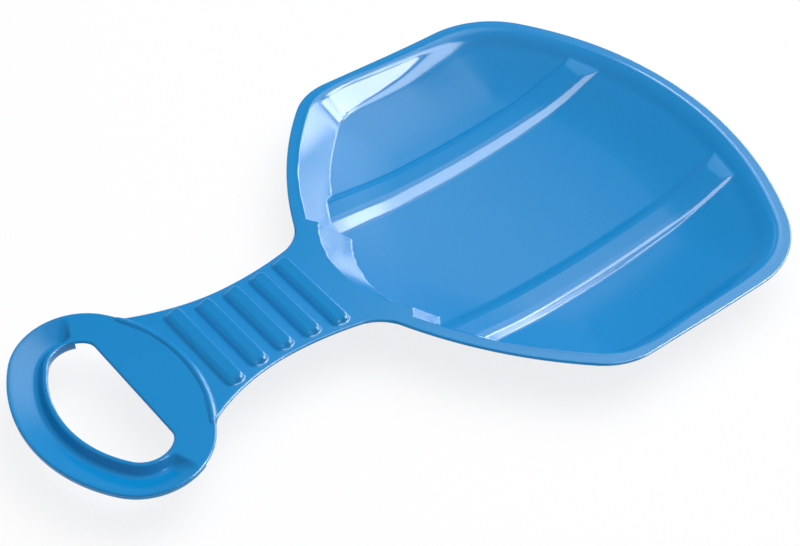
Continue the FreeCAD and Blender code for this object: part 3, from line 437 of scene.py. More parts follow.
def seat_plan(x, y):
    """What the seat's faces need at a place: heights, slopes and the distance to the edge."""
    aside = np.abs(x)
    wall, wall_cos = ruled_wall(-seat_distance(TOP_LINE, x, y), seat_distance(FOOT_LINE, x, y))
    wall = wall + WALL_SWELL * soft_step(aside, *WALL_SWELL_X) * soft_step(y, *WALL_SWELL_Y)
    land_inside = LAND_TOP_RADIUS - np.hypot(x, y - LAND_TOP_Y - LAND_TOP_RADIUS)
    land_outside = np.hypot(x, y - LAND_FOOT_Y - LAND_FOOT_RADIUS) - LAND_FOOT_RADIUS
    land, land_cos = ruled_wall(land_inside, land_outside)
    deck = deck_height(y)
    inside = -seat_distance(SEAT_LINE, x, y)
    lip = np.cos(np.clip((inside - LIP_PLACE) / LIP_HALF_WIDTH, -1, 1) * math.pi) + 1
    roll = RIM_FRONT_ROLL + (RIM_ROLL - RIM_FRONT_ROLL) * soft_step(y, *RIM_ROLL_Y)

    across = np.sqrt(FLOOR_CROWN ** 2 - x ** 2) - FLOOR_CROWN + FLOOR_RADIUS
    floor = FLOOR_AXIS_Z - np.sqrt(across ** 2 - (y - FLOOR_LOW_Y) ** 2)
    fillet = FLOOR_FILLET + (FLOOR_REAR_FILLET - FLOOR_FILLET) * soft_step(y, *FLOOR_FILLET_Y)
    to_rear = soft_step(y, *LIFT_REAR_Y)
    lift_to = LIFT_TO_SIDE + (LIFT_TO_REAR - LIFT_TO_SIDE) * to_rear
    lift_share = np.clip((LIFT_FROM - inside) / (LIFT_FROM - lift_to), 0, LIFT_MOST) ** 2 * soft_step(y, *LIFT_Y)
    lift = lift_share * (LIFT_SIDE + (deck - floor - LIFT_LIP - LIFT_SIDE) * to_rear)

    sag = RUNNER_X ** 2 / (2 * FLOOR_CROWN)
    crest_radius = FLOOR_RADIUS - sag - RUNNER_HEIGHT
    crest = FLOOR_AXIS_Z - np.sqrt(crest_radius ** 2 - (y - FLOOR_LOW_Y - RUNNER_SHIFT) ** 2) + lift
    reach = RUNNER_REAR_Y - FLOOR_LOW_Y
    foot_z = FLOOR_AXIS_Z - math.sqrt(FLOOR_RADIUS ** 2 - reach ** 2) + sag
    ramp_rise = RUNNER_HEIGHT / RUNNER_RAMP - reach / FLOOR_RADIUS
    behind = (y - RUNNER_REAR_Y + (aside - RUNNER_X) * RUNNER_SKEW) * math.cos(math.atan(RUNNER_SKEW))
    return dict(
        deck=deck + LIP_HEIGHT / 2 * lip * soft_step(y, *LIP_Y),
        wall=wall,
        wall_cos=wall_cos,
        land=land,
        land_cos=land_cos,
        beside_land=((aside - LAND_SIDE_SPOT[0]) * LAND_SIDE_FACING[0]
                     + (y - LAND_SIDE_SPOT[1]) * LAND_SIDE_FACING[1]),
        behind_land=y - LAND_END_Y,
        floor=floor + lift,
        floor_cos=np.sqrt(1 - ((y - FLOOR_LOW_Y) / FLOOR_RADIUS) ** 2),
        fillet=fillet * (1 - wall_cos),
        roll=roll * (1 - wall_cos),
        crest=crest,
        inner=crest + (aside - RUNNER_INNER) * RUNNER_HEIGHT / RUNNER_INNER_RUN,
        outer=crest - (aside - RUNNER_OUTER) * RUNNER_HEIGHT / RUNNER_OUTER_RUN,
        ramp=foot_z + lift - behind * ramp_rise,
        edge=outer_distance(x, y))


def seat_face(plan, z):
    """Upper face of the seat: deck, rim, walls, floor and runner ribs."""
    beside = plan["beside_land"] + (z - LAND_SIDE_SPOT[2]) * LAND_SIDE_FACING[2]
    land = round_max((z - plan["land"]) * plan["land_cos"], beside, LAND_CORNER)
    land = np.maximum(land, plan["behind_land"])
    walls = round_min((z - plan["wall"]) * plan["wall_cos"], land, LAND_CREASE)
    dish = round_min(walls, (z - plan["floor"]) * plan["floor_cos"], plan["fillet"])
    rib = round_max(z - plan["crest"], (z - plan["inner"]) * INNER_COS, RUNNER_EDGE * (1 - INNER_COS))
    rib = round_max(rib, (z - plan["outer"]) * OUTER_COS, RUNNER_EDGE * (1 - OUTER_COS))
    rib = round_max(rib, z - plan["ramp"], RUNNER_RAMP_ROUND)
    dish = round_min(dish, rib, RUNNER_FOOT * (1 - OUTER_COS))
    return round_max(z - plan["deck"], dish, plan["roll"])


def neck_half_width(y):
    """Half the width of the neck sheet, fillets included."""
    y = np.asarray(y, float)

    def hollow(centre, radius):
        return centre[0] - np.sqrt(np.maximum(radius ** 2 - (y - centre[1]) ** 2, 0))

    width = np.where(y < WAIST_Y, hollow(NECK_FRONT, NECK_FRONT_RADIUS), hollow(NECK_REAR, NECK_REAR_RADIUS))
    width = np.where(y < NECK_START[1], hollow(HANDLE_FILLET, NECK_HANDLE_FILLET), width)
    return np.where(y > NECK_STOP[1], hollow(SEAT_FILLET, NECK_SEAT_FILLET), width)


RIB_PLACES = [RIB_FIRST_Y + RIB_PITCH * number for number in range(RIB_COUNT)]
RIB_HALF_LENGTHS = [float(neck_half_width(y)) - RIB_MARGIN for y in RIB_PLACES]


def bead_face(x, y, z):
    """Low bead along the oval's rear arc."""
    across, along = np.abs(x), y - OVAL_REAR[1]
    off = np.hypot(across, along) - (LONG_RADIUS - BEAD_INSET)
    past = (np.arctan2(across, along) - BEAD_HALF_TURN) * LONG_RADIUS
    sunk = z - deck_height(y) - BEAD_HEIGHT + BEAD_RADIUS
    return np.sqrt(off ** 2 + sunk ** 2 + np.maximum(past, 0) ** 2) - BEAD_RADIUS


def neck_plan(x, y):
    """What the neck's faces need at a place; each rib has a long front slope and a steep rear one."""
    bars = []
    for place, half_length in zip(RIB_PLACES, RIB_HALF_LENGTHS):
        across = np.abs(x) - half_length + RIB_CORNER
        along = np.abs(y - place) - RIB_WIDTH / 2 + RIB_CORNER
        outside = np.hypot(np.maximum(across, 0), np.maximum(along, 0))
        bars.append(outside + np.minimum(np.maximum(across, along), 0) - RIB_CORNER)
    along = (y - RIB_FIRST_Y + RIB_PITCH / 2) % RIB_PITCH - RIB_PITCH / 2
    to_rear = soft_step(along, *RIB_TURN_Y)
    lean = RIB_FRONT_LEAN + (RIB_REAR_LEAN - RIB_FRONT_LEAN) * to_rear
    edge_radius = RIB_FRONT_EDGE + (RIB_REAR_EDGE - RIB_FRONT_EDGE) * to_rear
    return dict(
        x=x, y=y, deck=deck_height(y), bar=np.min(bars, 0) * np.cos(lean), lean=np.sin(lean),
        crest=RIB_HEIGHT + RIB_SLANT * along, round=edge_radius * (1 - np.sin(lean)), edge=outer_distance(x, y))


def neck_face(plan, z):
    """Upper face of the neck: deck, bead and grip ribs."""
    above = z - plan["deck"]
    rib = round_max(above - plan["crest"], plan["bar"] + above * plan["lean"], plan["round"])
    face = round_min(above, bead_face(plan["x"], plan["y"], z), BEAD_FOOT)
    return round_min(face, rib, RIB_FOOT)


def handle_plan(x, y):
    """What the handle's faces need at a place."""
    past = -(np.abs(x) - END_X) * math.sin(TROUGH_TURN) + (y - HANDLE_Y) * math.cos(TROUGH_TURN)
    return dict(x=x, y=y, deck=deck_height(y), inside=-oval_distance(x, y), past=past,
                edge=np.maximum(outer_distance(x, y), hole_distance(x, y)))


def plate_face(plan, z):
    """Upper face of the handle: plate, bead and trough."""
    above = z - plan["deck"]
    inside = plan["inside"]
    inner = GRIP_WIDTH - TROUGH_INNER
    fall = TROUGH_DEPTH / (inner - TROUGH_LEAN - TROUGH_OUTER)
    rise = TROUGH_DEPTH / TROUGH_LEAN
    outer_slope = (above + (inside - TROUGH_OUTER) * fall) / math.hypot(fall, 1)
    inner_slope = (above - (inside - inner) * rise) / math.hypot(rise, 1)
    trough = round_min(outer_slope, above + TROUGH_DEPTH, TROUGH_ROUND)
    trough = round_min(trough, inner_slope, TROUGH_INNER_ROUND)
    trough = round_min(trough, (above - plan["past"]) * math.sqrt(0.5), TROUGH_END_ROUND)
    face = round_max(above, trough, TROUGH_LIP)
    return round_min(face, bead_face(plan["x"], plan["y"], z), BEAD_FOOT)


def grip_under(plan, z):
    """Underside of the grip bar."""
    below = plan["deck"] - z
    inside = plan["inside"]
    keel = GRIP_WIDTH - WALL
    outer = (GRIP_DEPTH - GRIP_OUTER) / (keel - GRIP_KEEL)
    inner = (GRIP_DEPTH - GRIP_INNER) / WALL
    outer_slope = (below - GRIP_OUTER - inside * outer) / math.hypot(outer, 1)
    inner_slope = (below - GRIP_DEPTH + (inside - keel) * inner) / math.hypot(inner, 1)
    face = round_max(outer_slope, below - GRIP_DEPTH, GRIP_OUTER_ROUND)
    return round_max(face, inner_slope, GRIP_INNER_ROUND)


def sheet_under(face):
    """Underside of a sheet that keeps the wall's thickness under an upper face."""
    return lambda plan, z: -WALL - face(plan, z)


# Meshes: grids of places with an upper and a lower face, cut into the pieces of the moulding

REST_TURN = math.atan(REST_TILT)
REST = (Matrix.Translation((0, -REST_SHIFT, 0)) @ Matrix.Translation((0, FLOOR_LOW_Y, FLOOR_AXIS_Z))
        @ Matrix.Rotation(REST_TURN, 4, "X") @ Matrix.Translation((0, -FLOOR_LOW_Y, -FLOOR_AXIS_Z)))
MM_PER_M = 1000
LEVEL_HALVINGS = 44
FACE_HALVINGS = 40
WELD_DIGITS = 4
FLAT_NORMAL_RISE = 0.3  # under this a wall is the moulding's own edge, not a cut between pieces


def joined(*parts):
    return np.concatenate([np.atleast_1d(part) for part in parts])


def graded(places, counts):
    """Places in even steps between the given ones, with a count of steps for each gap."""
    gaps = zip(places[:-1], places[1:], counts)
    return joined(*[np.linspace(low, high, count + 1)[:-1] for low, high, count in gaps], places[-1])


def unit(vectors):
    return vectors / np.maximum(np.linalg.norm(vectors, axis=-1, keepdims=True), TINY)


def solve(make_plan, face, x, y, rising):
    """Points and normals of a face with the moulding's edge rounded off."""
    sign = 1.0 if rising else -1.0

    def value(plan, z):
        return round_max(face(plan, z), plan["edge"], EDGE)

    plan = make_plan(x, y)
    low, high = np.full(x.shape, LOWEST_Z), np.full(x.shape, HIGHEST_Z)
    for _ in range(LEVEL_HALVINGS):
        middle = (low + high) / 2
        outside = face(plan, middle) > -EDGE
        above = outside if rising else ~outside
        high = np.where(above, middle, high)
        low = np.where(above, low, middle)
    near, far = middle, middle + sign * EDGE_REACH
    for _ in range(FACE_HALVINGS):
        middle = (near + far) / 2
        outside = value(plan, middle) > 0
        far = np.where(outside, middle, far)
        near = np.where(outside, near, middle)
    z = (near + far) / 2
    slope_x = value(make_plan(x + PROBE, y), z) - value(make_plan(x - PROBE, y), z)
    slope_y = value(make_plan(x, y + PROBE), z) - value(make_plan(x, y - PROBE), z)
    slope_z = value(plan, z + PROBE) - value(plan, z - PROBE)
    return np.stack([x, y, z], -1), unit(np.stack([slope_x, slope_y, slope_z], -1))


def all_cells(grid):
    return np.ones((grid.shape[0] - 1, grid.shape[1] - 1), bool)


def quads(points, normals, turned_over):
    """Corners and normals of a grid's cells."""
    order = [(0, 0), (0, 1), (1, 1), (1, 0)]
    if turned_over:
        order.reverse()
    rows, columns = points.shape[0] - 1, points.shape[1] - 1
    pick = [(slice(i, i + rows), slice(j, j + columns)) for i, j in order]
    return np.stack([points[spot] for spot in pick], 2), np.stack([normals[spot] for spot in pick], 2)


def piece_faces(top, under, mask, ring=False):
    """Corners and normals of a piece's faces: the wanted cells above and below, and the walls between."""
    points, normals = [], []
    for surface, over in ((top, False), (under, True)):
        corners, corner_normals = quads(*surface, over)
        points.append(corners[mask])
        normals.append(corner_normals[mask])
    padded = np.pad(np.pad(mask, ((1, 1), (0, 0))), ((0, 0), (1, 1)), mode="wrap" if ring else "constant")
    height, width = mask.shape
    for step, edge in (((-1, 0), ((0, 1), (0, 0))), ((1, 0), ((1, 0), (1, 1))),
                       ((0, -1), ((0, 0), (1, 0))), ((0, 1), ((1, 1), (0, 1)))):
        beyond = padded[1 + step[0]:1 + step[0] + height, 1 + step[1]:1 + step[1] + width]
        rows, columns = np.nonzero(mask & ~beyond)
        first = (rows + edge[0][0], columns + edge[0][1])
        second = (rows + edge[1][0], columns + edge[1][1])
        corners = np.stack([top[0][first], top[0][second], under[0][second], under[0][first]], 1)
        bent = np.stack([top[1][first], top[1][second], under[1][second], under[1][first]], 1)
        flat = unit(np.cross(corners[:, 1] - corners[:, 0], corners[:, 3] - corners[:, 0]))
        free = (np.abs(bent[..., 2]) < FLAT_NORMAL_RISE).all(1)
        points.append(corners)
        normals.append(np.where(free[:, None, None], bent, flat[:, None, :]))
    return np.concatenate(points), np.concatenate(normals)


def make_piece(name, faces, material):
    """Object from face corners: joins equal corners, drops empty faces and lays it at rest, in metres."""
    corners, normals = faces
    flat = corners.reshape(-1, 3)
    _, first, index = np.unique(np.round(flat, WELD_DIGITS), axis=0, return_index=True, return_inverse=True)
    polygons, loops = [], []
    for ring, ring_normals in zip(index.reshape(-1, 4), normals):
        kept = [n for n in range(4) if ring[n] != ring[n - 1]]
        if len(kept) > 2 and len({int(ring[n]) for n in kept}) == len(kept):
            polygons.append([int(ring[n]) for n in kept])
            loops.extend(ring_normals[n] for n in kept)
    turn = np.array(REST.to_3x3())
    vertices = (flat[first] @ turn.T + np.array(REST.translation)) / MM_PER_M
    mesh = bpy.data.meshes.new(name)
    mesh.from_pydata(vertices.tolist(), [], polygons)
    mesh.polygons.foreach_set("use_smooth", [True] * len(mesh.polygons))
    mesh.normals_split_custom_set((np.array(loops) @ turn.T).tolist())
    mesh.materials.append(material)
    item = bpy.data.objects.new(name, mesh)
    bpy.context.scene.collection.objects.link(item)
    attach(item, "root")
    return item


# Material: glossy moulded polyethylene

def plastic():
    """Blue plastic with a faint cloudiness in colour and gloss, and a fine grain."""
    material = bpy.data.materials.new("blue_plastic")
    material.use_nodes = True
    nodes, links = material.node_tree.nodes, material.node_tree.links
    shader = nodes["Principled BSDF"]
    shader.inputs["IOR"].default_value = 1.5
    place = nodes.new("ShaderNodeTexCoord")
    cloud = nodes.new("ShaderNodeTexNoise")
    cloud.inputs["Scale"].default_value = 9.0
    cloud.inputs["Detail"].default_value = 3.0
    tint = nodes.new("ShaderNodeValToRGB")
    tint.color_ramp.elements[0].position = 0.3
    tint.color_ramp.elements[0].color = (0.0018, 0.240, 0.590, 1)
    tint.color_ramp.elements[1].position = 0.7
    tint.color_ramp.elements[1].color = (0.0026, 0.250, 0.608, 1)
    gloss = nodes.new("ShaderNodeMapRange")
    gloss.inputs["To Min"].default_value = 0.14
    gloss.inputs["To Max"].default_value = 0.18
    grain = nodes.new("ShaderNodeTexNoise")
    grain.inputs["Scale"].default_value = 900.0
    grain.inputs["Detail"].default_value = 2.0
    bump = nodes.new("ShaderNodeBump")
    bump.inputs["Strength"].default_value = 0.015
    bump.inputs["Distance"].default_value = 0.0002
    links.new(place.outputs["Object"], cloud.inputs["Vector"])
    links.new(place.outputs["Object"], grain.inputs["Vector"])
    links.new(cloud.outputs["Fac"], tint.inputs["Fac"])
    links.new(cloud.outputs["Fac"], gloss.inputs["Value"])
    links.new(tint.outputs["Color"], shader.inputs["Base Color"])
    links.new(gloss.outputs["Result"], shader.inputs["Roughness"])
    links.new(grain.outputs["Fac"], bump.inputs["Height"])
    links.new(bump.outputs["Normal"], shader.inputs["Normal"])
    return material


BLUE = plastic()
pieces = {}

# Seat well: columns along the sled, rows across it, closer together at walls and ribs

FRONT_ROWS = 21
REAR_ROWS = 8
LAND_COLUMNS_END = 46.0
WALL_COLUMNS = 21
WALL_COLUMN_PITCH = 0.06
runner_low, runner_high = RUNNER_X - RUNNER_ZONE / 2, RUNNER_X + RUNNER_ZONE / 2
runner_side = np.array([18, 17.2, 16.4, 15.6, 14.8, 14, 13, 12, 11, 10.2, 9.4, 8.6, 7.8, 7, 6, 4, 2])
well_half = WELL_LINE["side"][0]
wall_columns = well_half - WALL_COLUMN_PITCH * np.arange(WALL_COLUMNS, -1, -1) ** 2
columns = joined(
    graded((0, LAND_COLUMNS_END, runner_low), (30, 14))[:-1],
    RUNNER_X - runner_side, RUNNER_X, RUNNER_X + runner_side[::-1],
    graded((runner_high, wall_columns[0]), (23,))[1:-1], wall_columns)
columns = joined(-columns[:0:-1], columns)
front_line, rear_line = front_y(WELL_LINE, columns), rear_y(WELL_LINE, columns)
beside = np.clip(np.abs(columns) - RUNNER_X, -RUNNER_ZONE / 2, RUNNER_ZONE / 2)
held = np.clip(np.abs(columns), runner_low, runner_high)
column_share = (rear_line - front_line) / (rear_y(WELL_LINE, held) - front_y(WELL_LINE, held))
column_share = np.where(np.abs(columns) > held, column_share, 1.0)
front_gap = (RUNNER_FRONT_Y + beside * RUNNER_SKEW - front_y(WELL_LINE, held)) * column_share
rear_gap = (rear_y(WELL_LINE, held) - RUNNER_REAR_Y + beside * RUNNER_SKEW) * column_share
zone_front, zone_rear = front_line + front_gap, rear_line - rear_gap
middle_shares = graded((0, 0.12, 0.86, 1), (23, 43, 29))
well_y = np.concatenate([
    front_line + np.linspace(0, 1, FRONT_ROWS + 1)[:-1, None] * front_gap,
    zone_front + middle_shares[:, None] * (zone_rear - zone_front),
    rear_line - np.linspace(1, 0, REAR_ROWS + 1)[1:, None] * rear_gap])
well_x = np.broadcast_to(columns, well_y.shape).copy()
well_top = solve(seat_plan, seat_face, well_x, well_y, True)
well_under = solve(seat_plan, sheet_under(seat_face), well_x, well_y, False)
cell_x = (columns[1:] + columns[:-1]) / 2
pan_mask = all_cells(well_x)
for side_name, side in (("left", -1), ("right", 1)):
    mask = np.zeros_like(pan_mask)
    mask[FRONT_ROWS:FRONT_ROWS + len(middle_shares) - 1] = np.abs(cell_x * side - RUNNER_X) < RUNNER_ZONE / 2
    pan_mask &= ~mask
    name = f"runner_rib_{side_name}"
    pieces[name] = make_piece(f"{name}_skin", piece_faces(well_top, well_under, mask), BLUE)
pieces["seat_pan"] = make_piece("seat_pan_skin", piece_faces(well_top, well_under, pan_mask), BLUE)

# Rim: loops from the edge in to the well

EDGE_LOOPS = 8
RIM_LOOPS = 10
well = np.stack([well_x, well_y], -1)
border = np.concatenate([well[0, :-1], well[:-1, -1], well[-1, :0:-1], well[:0:-1, 0], well[:1, 0]])
border_x, border_y = border[:, 0], border[:, 1]
outward = unit(np.stack([
    seat_distance(SEAT_LINE, border_x + OUTLINE_PROBE, border_y)
    - seat_distance(SEAT_LINE, border_x - OUTLINE_PROBE, border_y),
    seat_distance(SEAT_LINE, border_x, border_y + OUTLINE_PROBE)
    - seat_distance(SEAT_LINE, border_x, border_y - OUTLINE_PROBE)], -1))
edge_steps = EDGE * (1 - np.sin(np.linspace(0, math.pi / 2, EDGE_LOOPS)))
rim_steps = joined(np.linspace(0, RIM_WIDTH - EDGE, RIM_LOOPS + 1)[:-1], RIM_WIDTH - edge_steps)[::-1]
rim_places = border[None] + rim_steps[:, None, None] * outward[None]
rim_x, rim_y = rim_places[..., 0], rim_places[..., 1]
rim_top = solve(seat_plan, seat_face, rim_x, rim_y, True)
rim_under = solve(seat_plan, sheet_under(seat_face), rim_x, rim_y, False)
pieces["seat_rim"] = make_piece(
    "seat_rim_skin", piece_faces(rim_top, rim_under, all_cells(rim_x), ring=True), BLUE)

# Neck: rows across it that fan out to the oval at one end and to the seat at the other

FAN_FRONT_ROWS = 9
FAN_REAR_ROWS = 12
MIDDLE_COLUMNS = 8
RIB_ROWS_LEFT = 2  # rows and columns at a rib's foot that stay with the neck
RIB_COLUMNS_LEFT = 5
rib_offsets = np.array([7.8, 7.4, 7.0, 6.7, 6.4, 6.0, 5.6, 5.2, 4.8, 4.4, 4.0, 3.5, 3.0, 2.4, 1.5])
rib_rows = joined(-rib_offsets, 0, rib_offsets[::-1])
straight_rows, rib_spans = [], []
for place in RIB_PLACES:
    rib_spans.append((len(straight_rows), len(straight_rows) + len(rib_rows)))
    straight_rows.extend(place + rib_rows)
    straight_rows.append(place + RIB_PITCH / 2)
straight_rows = np.array(straight_rows[:-1])
fan_front = np.linspace(1, 0, FAN_FRONT_ROWS + 1)[:-1]
fan_rear = np.linspace(0, 1, FAN_REAR_ROWS + 1)[1:]
middle_y = joined(OVAL_REAR_Y + (1 - fan_front) * (straight_rows[0] - OVAL_REAR_Y),
                  straight_rows, straight_rows[-1] + fan_rear * (SEAT["front_y"] - straight_rows[-1]))
front_fan = joined(fan_front, 0 * straight_rows, 0 * fan_rear)
rear_fan = joined(0 * fan_front, 0 * straight_rows, fan_rear)
side_y = (middle_y + front_fan * (HANDLE_TIP[1] - OVAL_REAR_Y)
          + rear_fan * (SEAT_TIP[1] - SEAT["front_y"]))
half_width = neck_half_width(side_y)
edge_insets = joined(edge_steps[::-1], 2, 2.8, 3.4, 3.8, 4.2, 4.6, 5.0, 5.5, 6.0, 6.6, 7.2, 8.0, 9.0, 10.5)
inner_share = np.linspace(0, 1, MIDDLE_COLUMNS + 1)[:-1]
half_x = np.concatenate([inner_share[None] * (half_width - edge_insets[-1])[:, None],
                         half_width[:, None] - edge_insets[None, ::-1]], 1)
neck_x = np.concatenate([-half_x[:, :0:-1], half_x], 1)
spread = neck_x / half_width[:, None]
oval_sag = arc_y(OVAL_LINE[2], spread * HANDLE_TIP[0], True) - OVAL_REAR_Y
seat_sag = front_y(SEAT_LINE, spread * SEAT_TIP[0]) - SEAT["front_y"]
neck_y = middle_y[:, None] + front_fan[:, None] * oval_sag + rear_fan[:, None] * seat_sag
neck_top = solve(neck_plan, neck_face, neck_x, neck_y, True)
neck_under = solve(neck_plan, sheet_under(neck_face), neck_x, neck_y, False)
neck_mask = all_cells(neck_x)
centre_column = half_x.shape[1] - 1
rib_reach = half_x.shape[1] - len(edge_steps) - RIB_COLUMNS_LEFT
for number, (first, last) in enumerate(rib_spans, start=1):
    mask = np.zeros_like(neck_mask)
    first_row = len(fan_front) + first + RIB_ROWS_LEFT
    last_row = len(fan_front) + last - 1 - RIB_ROWS_LEFT
    mask[first_row:last_row, centre_column - rib_reach:centre_column + rib_reach] = True
    neck_mask &= ~mask
    name = f"grip_rib_{number}"
    pieces[name] = make_piece(f"{name}_skin", piece_faces(neck_top, neck_under, mask), BLUE)
pieces["neck"] = make_piece("neck_skin", piece_faces(neck_top, neck_under, neck_mask), BLUE)

# Handle: stations round the hand hole, loops from the outer edge to the hole

FRONT_STATIONS = 25
END_STATIONS = (33, 13, 11)
REAR_STATIONS = 45
TROUGH_END_TURN = 0.16
grip_end_station = FRONT_STATIONS + END_STATIONS[0] + END_STATIONS[1]
outer_spots, inner_spots = [], []
for angle in np.linspace(-math.pi / 2, LEAN - math.pi / 2, FRONT_STATIONS + 1)[:-1]:
    outer_spots.append(turned(OVAL_FRONT, LONG_RADIUS, angle))
    inner_spots.append(turned(OVAL_FRONT, LONG_RADIUS - GRIP_WIDTH, angle))
for angle in graded((LEAN - math.pi / 2, TROUGH_TURN - TROUGH_END_TURN, GRIP_TURN, HOLE_TURN), END_STATIONS):
    outer_spots.append(turned(OVAL_SIDE, OVAL_END, angle))
    inner_spots.append(turned(OVAL_SIDE, HOLE_END, angle))
corner_way, straight_way = HOLE_CORNER * (math.pi / 2 - HOLE_TURN), HOLE_CORNER_SPOT[0]
end_way, rear_way = OVAL_END * (math.pi / 2 - LEAN - HOLE_TURN), LONG_RADIUS * LEAN
for share in np.linspace(0, 1, REAR_STATIONS + 1)[1:]:
    way = share * (corner_way + straight_way)
    if way < corner_way:
        inner_spots.append(turned(HOLE_CORNER_SPOT, HOLE_CORNER, HOLE_TURN + way / HOLE_CORNER))
    else:
        inner_spots.append(np.array([straight_way - (way - corner_way), HOLE_REAR_Y]))
    way = share * (end_way + rear_way)
    if way < end_way:
        outer_spots.append(turned(OVAL_SIDE, OVAL_END, HOLE_TURN + way / OVAL_END))
    else:
        outer_spots.append(turned(OVAL_REAR, LONG_RADIUS, math.pi / 2 - LEAN + (way - end_way) / LONG_RADIUS))
outer_spots, inner_spots = np.array(outer_spots), np.array(inner_spots)
mirror = np.array([-1.0, 1.0])
outer_spots = np.concatenate([outer_spots, outer_spots[-2::-1] * mirror])
inner_spots = np.concatenate([inner_spots, inner_spots[-2::-1] * mirror])
loop_insets = joined(
    edge_steps[::-1], 1.6, 2.0, 2.4, 3, 4, 6, 8, 10, 11.2, 12, 12.6, 13.4, 14.4, 15, 15.5, 16, 16.5, 17, 17.5,
    18, 18.6, 19.2, 19.8, 20.3, 20.8, 21.4, 22.0, 22.6, GRIP_WIDTH - edge_steps)
shares = loop_insets / GRIP_WIDTH
places = outer_spots[None] + shares[:, None, None] * (inner_spots - outer_spots)[None]
handle_x, handle_y = places[..., 0], places[..., 1]
handle_top = solve(handle_plan, plate_face, handle_x, handle_y, True)
plate_under = solve(handle_plan, sheet_under(plate_face), handle_x, handle_y, False)
bar_under = solve(handle_plan, grip_under, handle_x, handle_y, False)
grip_mask = all_cells(handle_x)
grip_mask[:, grip_end_station:-grip_end_station] = False
pieces["handle_grip"] = make_piece(
    "handle_grip_skin", piece_faces(handle_top, bar_under, grip_mask, ring=True), BLUE)
pieces["handle_plate"] = make_piece(
    "handle_plate_skin", piece_faces(handle_top, plate_under, ~grip_mask, ring=True), BLUE)

for name, piece in pieces.items():
    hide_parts(name)


# Floor, light and camera, in metres

FLOOR_HALF_WIDTH = 3
FLOOR_WHITE_SHARE = 0.82
LIGHT_TARGET = (0, 0.05, 0.02)
REFLECTORS = (  # turn from +X and rise in degrees, distance, width, height, radiance
    ("rear_reflector", 101, 17.5, 2.5, 2.1, 1.4, 7.5),  # shows in the front walls
    ("rib_reflector", 34, 57, 2.0, 1.35, 0.75, 8),  # along the runner ribs
    ("flank_reflector", 60, 43, 2.0, 0.5, 0.5, 17),  # at the front of the runner ribs
    ("right_reflector", 38, 22, 2.0, 0.9, 1.05, 18),  # in the left side wall
    ("corner_reflector", 62, 16, 2.0, 0.75, 0.6, 18))  # in the corner in front of that wall
REAR_FIELD_WAY = (-0.116, 0.659, 0.743)
CAMERA_FOCUS = (-7.177, 11.3, 1.4)
CAMERA_DISTANCE = 1129.731
CAMERA_AZIMUTH = math.radians(51.076)
CAMERA_ELEVATION = math.radians(45.77)
CAMERA_LENS = 74.485
CAMERA_SENSOR = 36.0


def pale_floor():
    """Near-white floor; what looks at it straight or in a reflection sees its shadows lightened."""
    material = bpy.data.materials.new("pale_floor")
    material.use_nodes = True
    nodes, links = material.node_tree.nodes, material.node_tree.links
    nodes.remove(nodes["Principled BSDF"])
    matt = nodes.new("ShaderNodeBsdfDiffuse")
    matt.inputs["Color"].default_value = (0.93, 0.94, 0.95, 1)
    white = nodes.new("ShaderNodeEmission")
    white.inputs["Strength"].default_value = 1.0
    path = nodes.new("ShaderNodeLightPath")
    seen = nodes.new("ShaderNodeMath")
    seen.operation = "MAXIMUM"
    through = nodes.new("ShaderNodeMath")
    through.operation = "MAXIMUM"
    share = nodes.new("ShaderNodeMath")
    share.operation = "MULTIPLY"
    share.inputs[1].default_value = FLOOR_WHITE_SHARE
    mix = nodes.new("ShaderNodeMixShader")
    links.new(path.outputs["Is Camera Ray"], seen.inputs[0])
    links.new(path.outputs["Is Glossy Ray"], seen.inputs[1])
    links.new(seen.outputs["Value"], through.inputs[0])
    links.new(path.outputs["Is Transmission Ray"], through.inputs[1])
    links.new(through.outputs["Value"], share.inputs[0])
    links.new(share.outputs["Value"], mix.inputs["Fac"])
    links.new(matt.outputs["BSDF"], mix.inputs[1])
    links.new(white.outputs["Emission"], mix.inputs[2])
    links.new(mix.outputs["Shader"], nodes["Material Output"].inputs["Surface"])
    return material


floor_corners = [(FLOOR_HALF_WIDTH * x, FLOOR_HALF_WIDTH * y, 0) for x, y in ((-1, -1), (1, -1), (1, 1), (-1, 1))]
floor_mesh = bpy.data.meshes.new("floor")
floor_mesh.from_pydata(floor_corners, [], [(0, 1, 2, 3)])
floor_mesh.materials.append(pale_floor())
floor = bpy.data.objects.new("floor", floor_mesh)
bpy.context.scene.collection.objects.link(floor)


def softbox(name, place, target, width, height, power, diffuse=True, glossy=True):
    """Area light that faces a target."""
    light = bpy.data.lights.new(name, "AREA")
    light.shape = "RECTANGLE"
    light.size, light.size_y = width, height
    light.energy = power
    lamp = bpy.data.objects.new(name, light)
    lamp.location = place
    lamp.rotation_euler = (Vector(target) - Vector(place)).to_track_quat("-Z", "Y").to_euler()
    lamp.visible_diffuse, lamp.visible_glossy = diffuse, glossy
    bpy.context.scene.collection.objects.link(lamp)


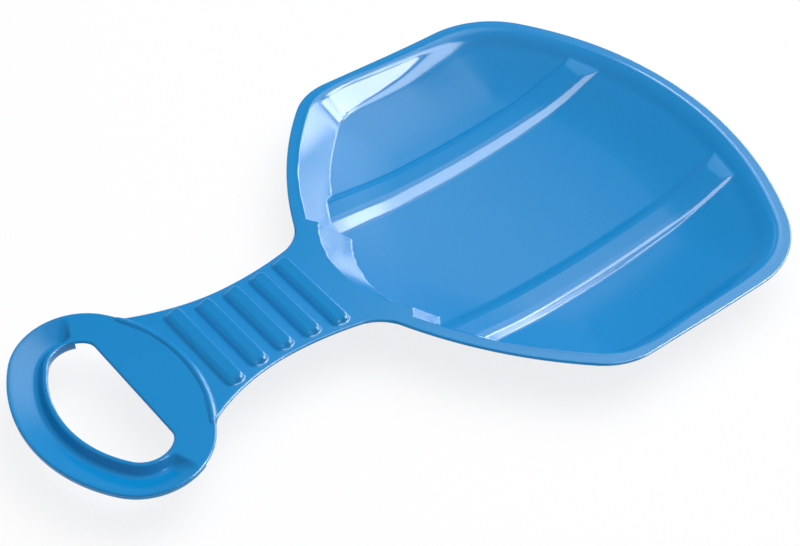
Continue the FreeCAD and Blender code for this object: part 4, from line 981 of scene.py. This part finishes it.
def reflector(name, turn, rise, distance, width, height, radiance):
    """Softbox that shows in the gloss alone."""
    turn, rise = math.radians(turn), math.radians(rise)
    way = Vector((math.cos(rise) * math.cos(turn), math.cos(rise) * math.sin(turn), math.sin(rise)))
    target = Vector(LIGHT_TARGET)
    power = radiance * math.pi * width * height
    softbox(name, target + way * distance, target, width, height, power, diffuse=False)


softbox("overhead_light", place=(0, 0.45, 1.55), target=(0, 0, 0), width=1.8, height=1.8, power=19, glossy=False)
for settings in REFLECTORS:
    reflector(*settings)


def studio():
    """World: a grey tent with a bright field over the rear of the sled."""
    world = bpy.data.worlds.new("studio")
    world.use_nodes = True
    nodes, links = world.node_tree.nodes, world.node_tree.links
    backdrop = nodes["Background"]
    backdrop.inputs["Color"].default_value = (1, 1, 1, 1)
    place = nodes.new("ShaderNodeTexCoord")
    toward = nodes.new("ShaderNodeVectorMath")
    toward.operation = "DOT_PRODUCT"
    toward.inputs[1].default_value = REAR_FIELD_WAY
    rear = nodes.new("ShaderNodeMapRange")
    rear.interpolation_type = "SMOOTHSTEP"
    rear.inputs["From Min"].default_value = 0.84
    rear.inputs["From Max"].default_value = 0.985
    rear.inputs["To Min"].default_value = 0.28
    rear.inputs["To Max"].default_value = 2.4
    links.new(place.outputs["Generated"], toward.inputs[0])
    links.new(toward.outputs["Value"], rear.inputs["Value"])
    links.new(rear.outputs["Result"], backdrop.inputs["Strength"])
    return world


bpy.context.scene.world = studio()

level = math.cos(CAMERA_ELEVATION)
back = Vector((math.sin(CAMERA_AZIMUTH) * level, -math.cos(CAMERA_AZIMUTH) * level, math.sin(CAMERA_ELEVATION)))
right = Vector((math.cos(CAMERA_AZIMUTH), math.sin(CAMERA_AZIMUTH), 0))
stand = Matrix((right, back.cross(right), back)).transposed().to_4x4()
stand.translation = Vector(CAMERA_FOCUS) + back * CAMERA_DISTANCE
stand = REST @ stand
stand.translation /= MM_PER_M
camera_data = bpy.data.cameras.new("camera")
camera_data.lens, camera_data.sensor_width = CAMERA_LENS, CAMERA_SENSOR
camera = bpy.data.objects.new("camera", camera_data)
camera.matrix_world = stand
bpy.context.scene.collection.objects.link(camera)
bpy.context.scene.camera = camera
bpy.context.scene.view_settings.view_transform = "Standard"
